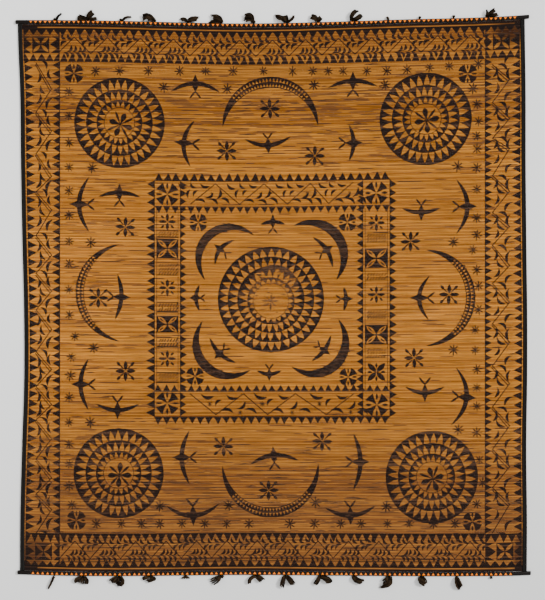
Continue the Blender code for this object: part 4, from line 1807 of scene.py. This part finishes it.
def object_place(tree):
    """A surface's place on the mat in metres, as one vector and as its parts."""
    place = add_node(tree, "ShaderNodeTexCoord").outputs["Object"]
    return place, add_node(tree, "ShaderNodeSeparateXYZ", {"Vector": place}).outputs


def own_shade(tree):
    return add_node(tree, "ShaderNodeAttribute", attribute_name="shade").outputs["Fac"]


def noise(tree, vector, scale, detail=2.0):
    inputs = {"Vector": vector, "Scale": scale, "Detail": detail}
    return add_node(tree, "ShaderNodeTexNoise", inputs).outputs["Fac"]


# How often marks repeat across the slats, to a metre, and how far apart two slats' marks are.
ACROSS_GRAIN = 260.0
AFRESH = 137.0


def along_grain(tree, stretch):
    """Coordinates for marks that run along the slats and start afresh on each one."""
    _, parts = object_place(tree)
    along = product(tree, parts["X"], stretch)
    across = product(tree, parts["Y"], ACROSS_GRAIN)
    afresh = product(tree, own_shade(tree), AFRESH)
    return add_node(tree, "ShaderNodeCombineXYZ", {"X": along, "Y": across, "Z": afresh}).outputs["Vector"]


# Fine grain: its scale, its detail, the part of its range that shows, and how strong its relief is.
GRAIN_SCALE = 2.4
GRAIN_DETAIL = 3.0
GRAIN_RANGE = (0.3, 0.7)
GRAIN_RELIEF = 0.35
SLAT_GRAIN = 9.0
SLAT_GRAIN_DEPTH = 0.25


def add_grain(tree, shader, vector, roughness, depth):
    """Uneven sheen and fine relief along the grain."""
    fine = noise(tree, vector, GRAIN_SCALE, GRAIN_DETAIL)
    tree.links.new(rescaled(tree, fine, *GRAIN_RANGE, *roughness), shader.inputs["Roughness"])
    inputs = {"Strength": GRAIN_RELIEF, "Distance": depth * MM, "Height": fine}
    bump = add_node(tree, "ShaderNodeBump", inputs)
    tree.links.new(bump.outputs["Normal"], shader.inputs["Normal"])
    return fine


def two_tones(tree, value, dark, pale, start=0, end=1):
    """A colour that goes from dark to pale as the value goes from start to end."""
    ramp = add_node(tree, "ShaderNodeValToRGB", {"Fac": value})
    for stop, position, colour in zip(ramp.color_ramp.elements, (start, end), (dark, pale)):
        stop.position = position
        stop.color = (*colour, 1)
    return ramp.outputs["Color"]


def uneven_tones(tree, shader, fine, spread, dark, pale, start, end):
    """Colours a surface between two tones, by fine noise and by each piece's own shade."""
    mixed = maths(tree, "ADD", fine, rescaled(tree, own_shade(tree), 0.0, 1.0, -spread, spread))
    tree.links.new(two_tones(tree, mixed, dark, pale, start, end), shader.inputs["Base Color"])


# The cane's colour goes from one slat to the next between these two.
CANE_DARK = (0.236, 0.079, 0.0105)
CANE_PALE = (0.478, 0.192, 0.0255)
CANE_ROUGHNESS = (0.5, 0.68)
# Streaks along the slats: how fine they are, to a metre, and their detail. How fine the wide patches are.
CANE_STREAKS = 12.0
CANE_STREAK_DETAIL = 4.0
WIDE_PATCHES = 2.6
# Painted sheen: what is added to the cane's colour as it darkens towards the mat's ends, so that it turns
# greyer there, standing in for the sky's reflection.
PAINTED_SHEEN_TINT = (0.004, 0.004, 0.022)

# Unevenness of the cane: the part of a noise's range that shows, and how light the cane is at both ends of
# it.
Light = namedtuple("Light", "start end light_at_start light_at_end")
STREAK_LIGHT = Light(0.34, 0.58, 0.62, 1.1)
WIDE_LIGHT = Light(0.3, 0.7, 0.9, 1.08)
GRAIN_LIGHT = Light(0.3, 0.7, 0.88, 1.08)
# Along each hidden thread the cane is a little darker.
THREAD_PITCH = 0.06
THREAD_LIGHT = Light(0.0, 0.003, 0.93, 1.0)
# The cane darkens towards the mat's bottom and top, and is paler beside the bindings; beside the right one
# the paleness is a painted sheen. Places are in metres.
BOTTOM_LIGHT = Light(-0.80, -0.25, 0.60, 1.02)
TOP_LIGHT = Light(0.5, 0.95, 1.03, 0.77)
LEFT_LIGHT = Light(-0.88, -0.83, 1.15, 1.0)
RIGHT_PAINTED_SHEEN = Light(0.855, 0.90, 1.0, 1.3)

# Brown stains and paler patches on the cane: their middles and how far they spread, in metres, and how light
# the cane is in their middles. They fade between two shares of their reach.
Stain = namedtuple("Stain", "x y wide tall light")
STAINS = [
    Stain(0.850, 0.965, 0.075, 0.055, 0.25),
    Stain(0.885, -0.92, 0.030, 0.100, 0.3),
    Stain(-0.865, -0.915, 0.060, 0.080, 0.4),
    Stain(-0.865, 0.940, 0.060, 0.050, 0.55),
    Stain(-0.80, -0.05, 0.45, 0.55, 1.15),
    Stain(0.85, -0.10, 0.30, 0.60, 1.06),
]
STAIN_FADE = (0.45, 1.1)


def stain_light(tree, place, stain):
    shift = vector_maths(tree, "SUBTRACT", {0: place, 1: (stain.x, stain.y, 0.0)})
    spread = vector_maths(tree, "MULTIPLY", {0: shift, 1: (1 / stain.wide, 1 / stain.tall, 0.0)})
    away = vector_maths(tree, "LENGTH", {0: spread}, "Value")
    return rescaled(tree, away, *STAIN_FADE, stain.light, 1.0)


def rattan_material():
    material, tree, shader = new_material("rattan", CANE_DARK, 0.55, 0.04)
    place, parts = object_place(tree)
    fine = add_grain(tree, shader, along_grain(tree, SLAT_GRAIN), CANE_ROUGHNESS, SLAT_GRAIN_DEPTH)
    streaks = noise(tree, along_grain(tree, CANE_STREAKS), 1.0, CANE_STREAK_DETAIL)
    wide = noise(tree, place, WIDE_PATCHES)
    threads = maths(tree, "PINGPONG", parts["X"], THREAD_PITCH)
    ends = product(tree, rescaled(tree, parts["Y"], *BOTTOM_LIGHT), rescaled(tree, parts["Y"], *TOP_LIGHT))
    light = product(
        tree,
        rescaled(tree, streaks, *STREAK_LIGHT),
        rescaled(tree, wide, *WIDE_LIGHT),
        rescaled(tree, fine, *GRAIN_LIGHT),
        ends,
        rescaled(tree, parts["X"], *LEFT_LIGHT),
        # painted sheen beside the right binding
        rescaled(tree, parts["X"], *RIGHT_PAINTED_SHEEN),
        rescaled(tree, threads, *THREAD_LIGHT),
        *[stain_light(tree, place, stain) for stain in STAINS],
    )
    cane = two_tones(tree, own_shade(tree), CANE_DARK, CANE_PALE)
    lit = vector_maths(tree, "SCALE", {0: cane, "Scale": light})
    # Painted sheen: the blue-grey tint is added where the cane darkens towards the mat's ends.
    dark = maths(tree, "SUBTRACT", 1.0, ends, use_clamp=True)
    with_painted_sheen = vector_maths(tree, "MULTIPLY_ADD", {0: dark, 1: PAINTED_SHEEN_TINT, 2: lit})
    tree.links.new(with_painted_sheen, shader.inputs["Base Color"])
    return material


# The two tones of full dye, thin dye and a streak of cane skin.
FULL_DYE = ((0.010, 0.006, 0.005), (0.034, 0.017, 0.011))
THIN_DYE = ((0.037, 0.019, 0.012), (0.092, 0.044, 0.022))
CANE_SKIN = ((0.065, 0.028, 0.014), (0.165, 0.073, 0.026))
DYE_SPREAD = 0.12
DYE_RANGE = (0.42, 0.78)
DYE_ROUGHNESS = (0.55, 0.75)
DYE_STREAKS = 14.0
DYE_STREAK_DETAIL = 3.0


def dye_material(name, dark, pale):
    """Dye that took unevenly along each slat and from slat to slat."""
    material, tree, shader = new_material(name, dark, 0.65, 0.06)
    streaks = noise(tree, along_grain(tree, DYE_STREAKS), 1.0, DYE_STREAK_DETAIL)
    uneven_tones(tree, shader, streaks, DYE_SPREAD, dark, pale, *DYE_RANGE)
    add_grain(tree, shader, along_grain(tree, SLAT_GRAIN), DYE_ROUGHNESS, SLAT_GRAIN_DEPTH)
    return material


# The rods' cane: its black and its undyed colour, how uneven their sheen is, and its fine grain.
BLACK_CANE = ((0.009, 0.007, 0.006), (0.45, 0.6))
BARE_CANE = ((0.84, 0.19, 0.002), (0.5, 0.65))
CANE_STRETCH = (20.0, 700.0, 700.0)
CANE_GRAIN_DEPTH = 0.2


def cane_material(name, colour, roughness):
    """Smooth cane with its grain along X."""
    material, tree, shader = new_material(name, colour, roughness[0], 0.07)
    place, _ = object_place(tree)
    stretched = vector_maths(tree, "MULTIPLY", {0: place, 1: CANE_STRETCH})
    add_grain(tree, shader, stretched, roughness, CANE_GRAIN_DEPTH)
    return material


# The two tones of the bindings' plait and of the tufts, and how fine their unevenness is.
PLAIT = ((0.004, 0.004, 0.004), (0.022, 0.020, 0.018), 400.0)
FIBRE = ((0.002, 0.0015, 0.001), (0.040, 0.024, 0.012), 700.0)
FIBRE_DETAIL = 4.0
FIBRE_SPREAD = 0.3
FIBRE_RANGE = (0.3, 0.85)
FIBRE_ROUGHNESS = (0.7, 0.9)
FIBRE_GRAIN_DEPTH = 0.3


def fibre_material(name, dark, pale, scale):
    material, tree, shader = new_material(name, dark, 0.8, 0.04)
    place, _ = object_place(tree)
    fine = noise(tree, place, scale, FIBRE_DETAIL)
    uneven_tones(tree, shader, fine, FIBRE_SPREAD, dark, pale, *FIBRE_RANGE)
    add_grain(tree, shader, place, FIBRE_ROUGHNESS, FIBRE_GRAIN_DEPTH)
    return material


# The floor: half its side in metres, its colour, the painted light falloff that darkens it down the view and
# across it, and how light it is in patches.
FLOOR_HALF = 6
FLOOR_COLOUR = (0.95, 0.95, 0.935)
FLOOR_PAINTED_FALLOFF_DOWN = Light(-1.1, 0.2, 0.8, 1.0)
FLOOR_PAINTED_FALLOFF_ACROSS = Light(-0.95, 0.95, 1.05, 0.97)
FLOOR_PATCH_LIGHT = Light(0.3, 0.7, 0.985, 1.0)
FLOOR_PATCHES = 1.5


def floor():
    mesh = bpy.data.meshes.new("floor")
    corners = [(x * FLOOR_HALF, y * FLOOR_HALF, 0) for x, y in ((-1, -1), (1, -1), (1, 1), (-1, 1))]
    mesh.from_pydata(corners, [], [(0, 1, 2, 3)])
    obj = add_object("floor", mesh)
    material, tree, shader = new_material("floor", FLOOR_COLOUR, 0.95, 0.1)
    place, parts = object_place(tree)
    # Painted light falloff: the floor is darker down the view and towards the right.
    light = product(
        tree,
        rescaled(tree, parts["Y"], *FLOOR_PAINTED_FALLOFF_DOWN),
        rescaled(tree, parts["X"], *FLOOR_PAINTED_FALLOFF_ACROSS),
        rescaled(tree, noise(tree, place, FLOOR_PATCHES), *FLOOR_PATCH_LIGHT),
    )
    colour = vector_maths(tree, "SCALE", {0: FLOOR_COLOUR, "Scale": light})
    tree.links.new(colour, shader.inputs["Base Color"])
    mesh.materials.append(material)


# Soft light from high on the right, and from all round.
KEY_FROM = (1.0, 0.45, 0.85)
KEY_STRENGTH = 3.7
KEY_SPREAD = 14
ROOM_STRENGTH = 1.05


def lights():
    key_data = bpy.data.lights.new("key", "SUN")
    key_data.energy = KEY_STRENGTH
    key_data.angle = math.radians(KEY_SPREAD)
    key = add_object("key", key_data)
    key.rotation_euler = Vector(KEY_FROM).to_track_quat("Z", "Y").to_euler()
    world = bpy.data.worlds.new("studio")
    world.use_nodes = True
    background = world.node_tree.nodes["Background"]
    background.inputs["Color"].default_value = (1, 1, 1, 1)
    background.inputs["Strength"].default_value = ROOM_STRENGTH
    bpy.context.scene.world = world


def camera():
    data = bpy.data.cameras.new("camera")
    data.lens = LENS
    data.sensor_width = FILM
    obj = add_object("camera", data)
    distance = VIEW_HEIGHT * LENS / FILM
    obj.location = (VIEW_MIDDLE[0] * MM, VIEW_MIDDLE[1] * MM, distance * MM)
    bpy.context.scene.camera = obj


def main():
    camera()
    lights()
    floor()
    main_figures()
    faces = [
        rattan_material(),
        dye_material("dye_deep", *FULL_DYE),
        dye_material("dye_thin", *THIN_DYE),
        dye_material("cane_streak", *CANE_SKIN),
    ]
    bands = slats(faces)
    for obj, length in bands:
        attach(obj, "root")
    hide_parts("slat_field")
    black_cane = cane_material("black_cane", *BLACK_CANE)
    cane_point = cane_material("cane_point", *BARE_CANE)
    for name, inward in (("rod_top", -1), ("rod_bottom", 1)):
        obj = rod(name, inward, [black_cane, cane_point])
        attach(obj, "root")
        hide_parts(name)
    plait = fibre_material("plait", *PLAIT)
    for name, side in (("binding_left", -1), ("binding_right", 1)):
        obj = binding(name, side, plait)
        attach(obj, "root")
        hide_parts(name)
    fibre = fibre_material("fibre", *FIBRE)
    for side, tufts in (("top", TOP_TUFTS), ("bottom", BOTTOM_TUFTS)):
        for number, (root, locks) in enumerate(tufts, 1):
            name = f"{side}_{number:02}"
            obj = tuft(name, root, locks, fibre)
            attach(obj, "root")
            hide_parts("tuft_" + name)


main()
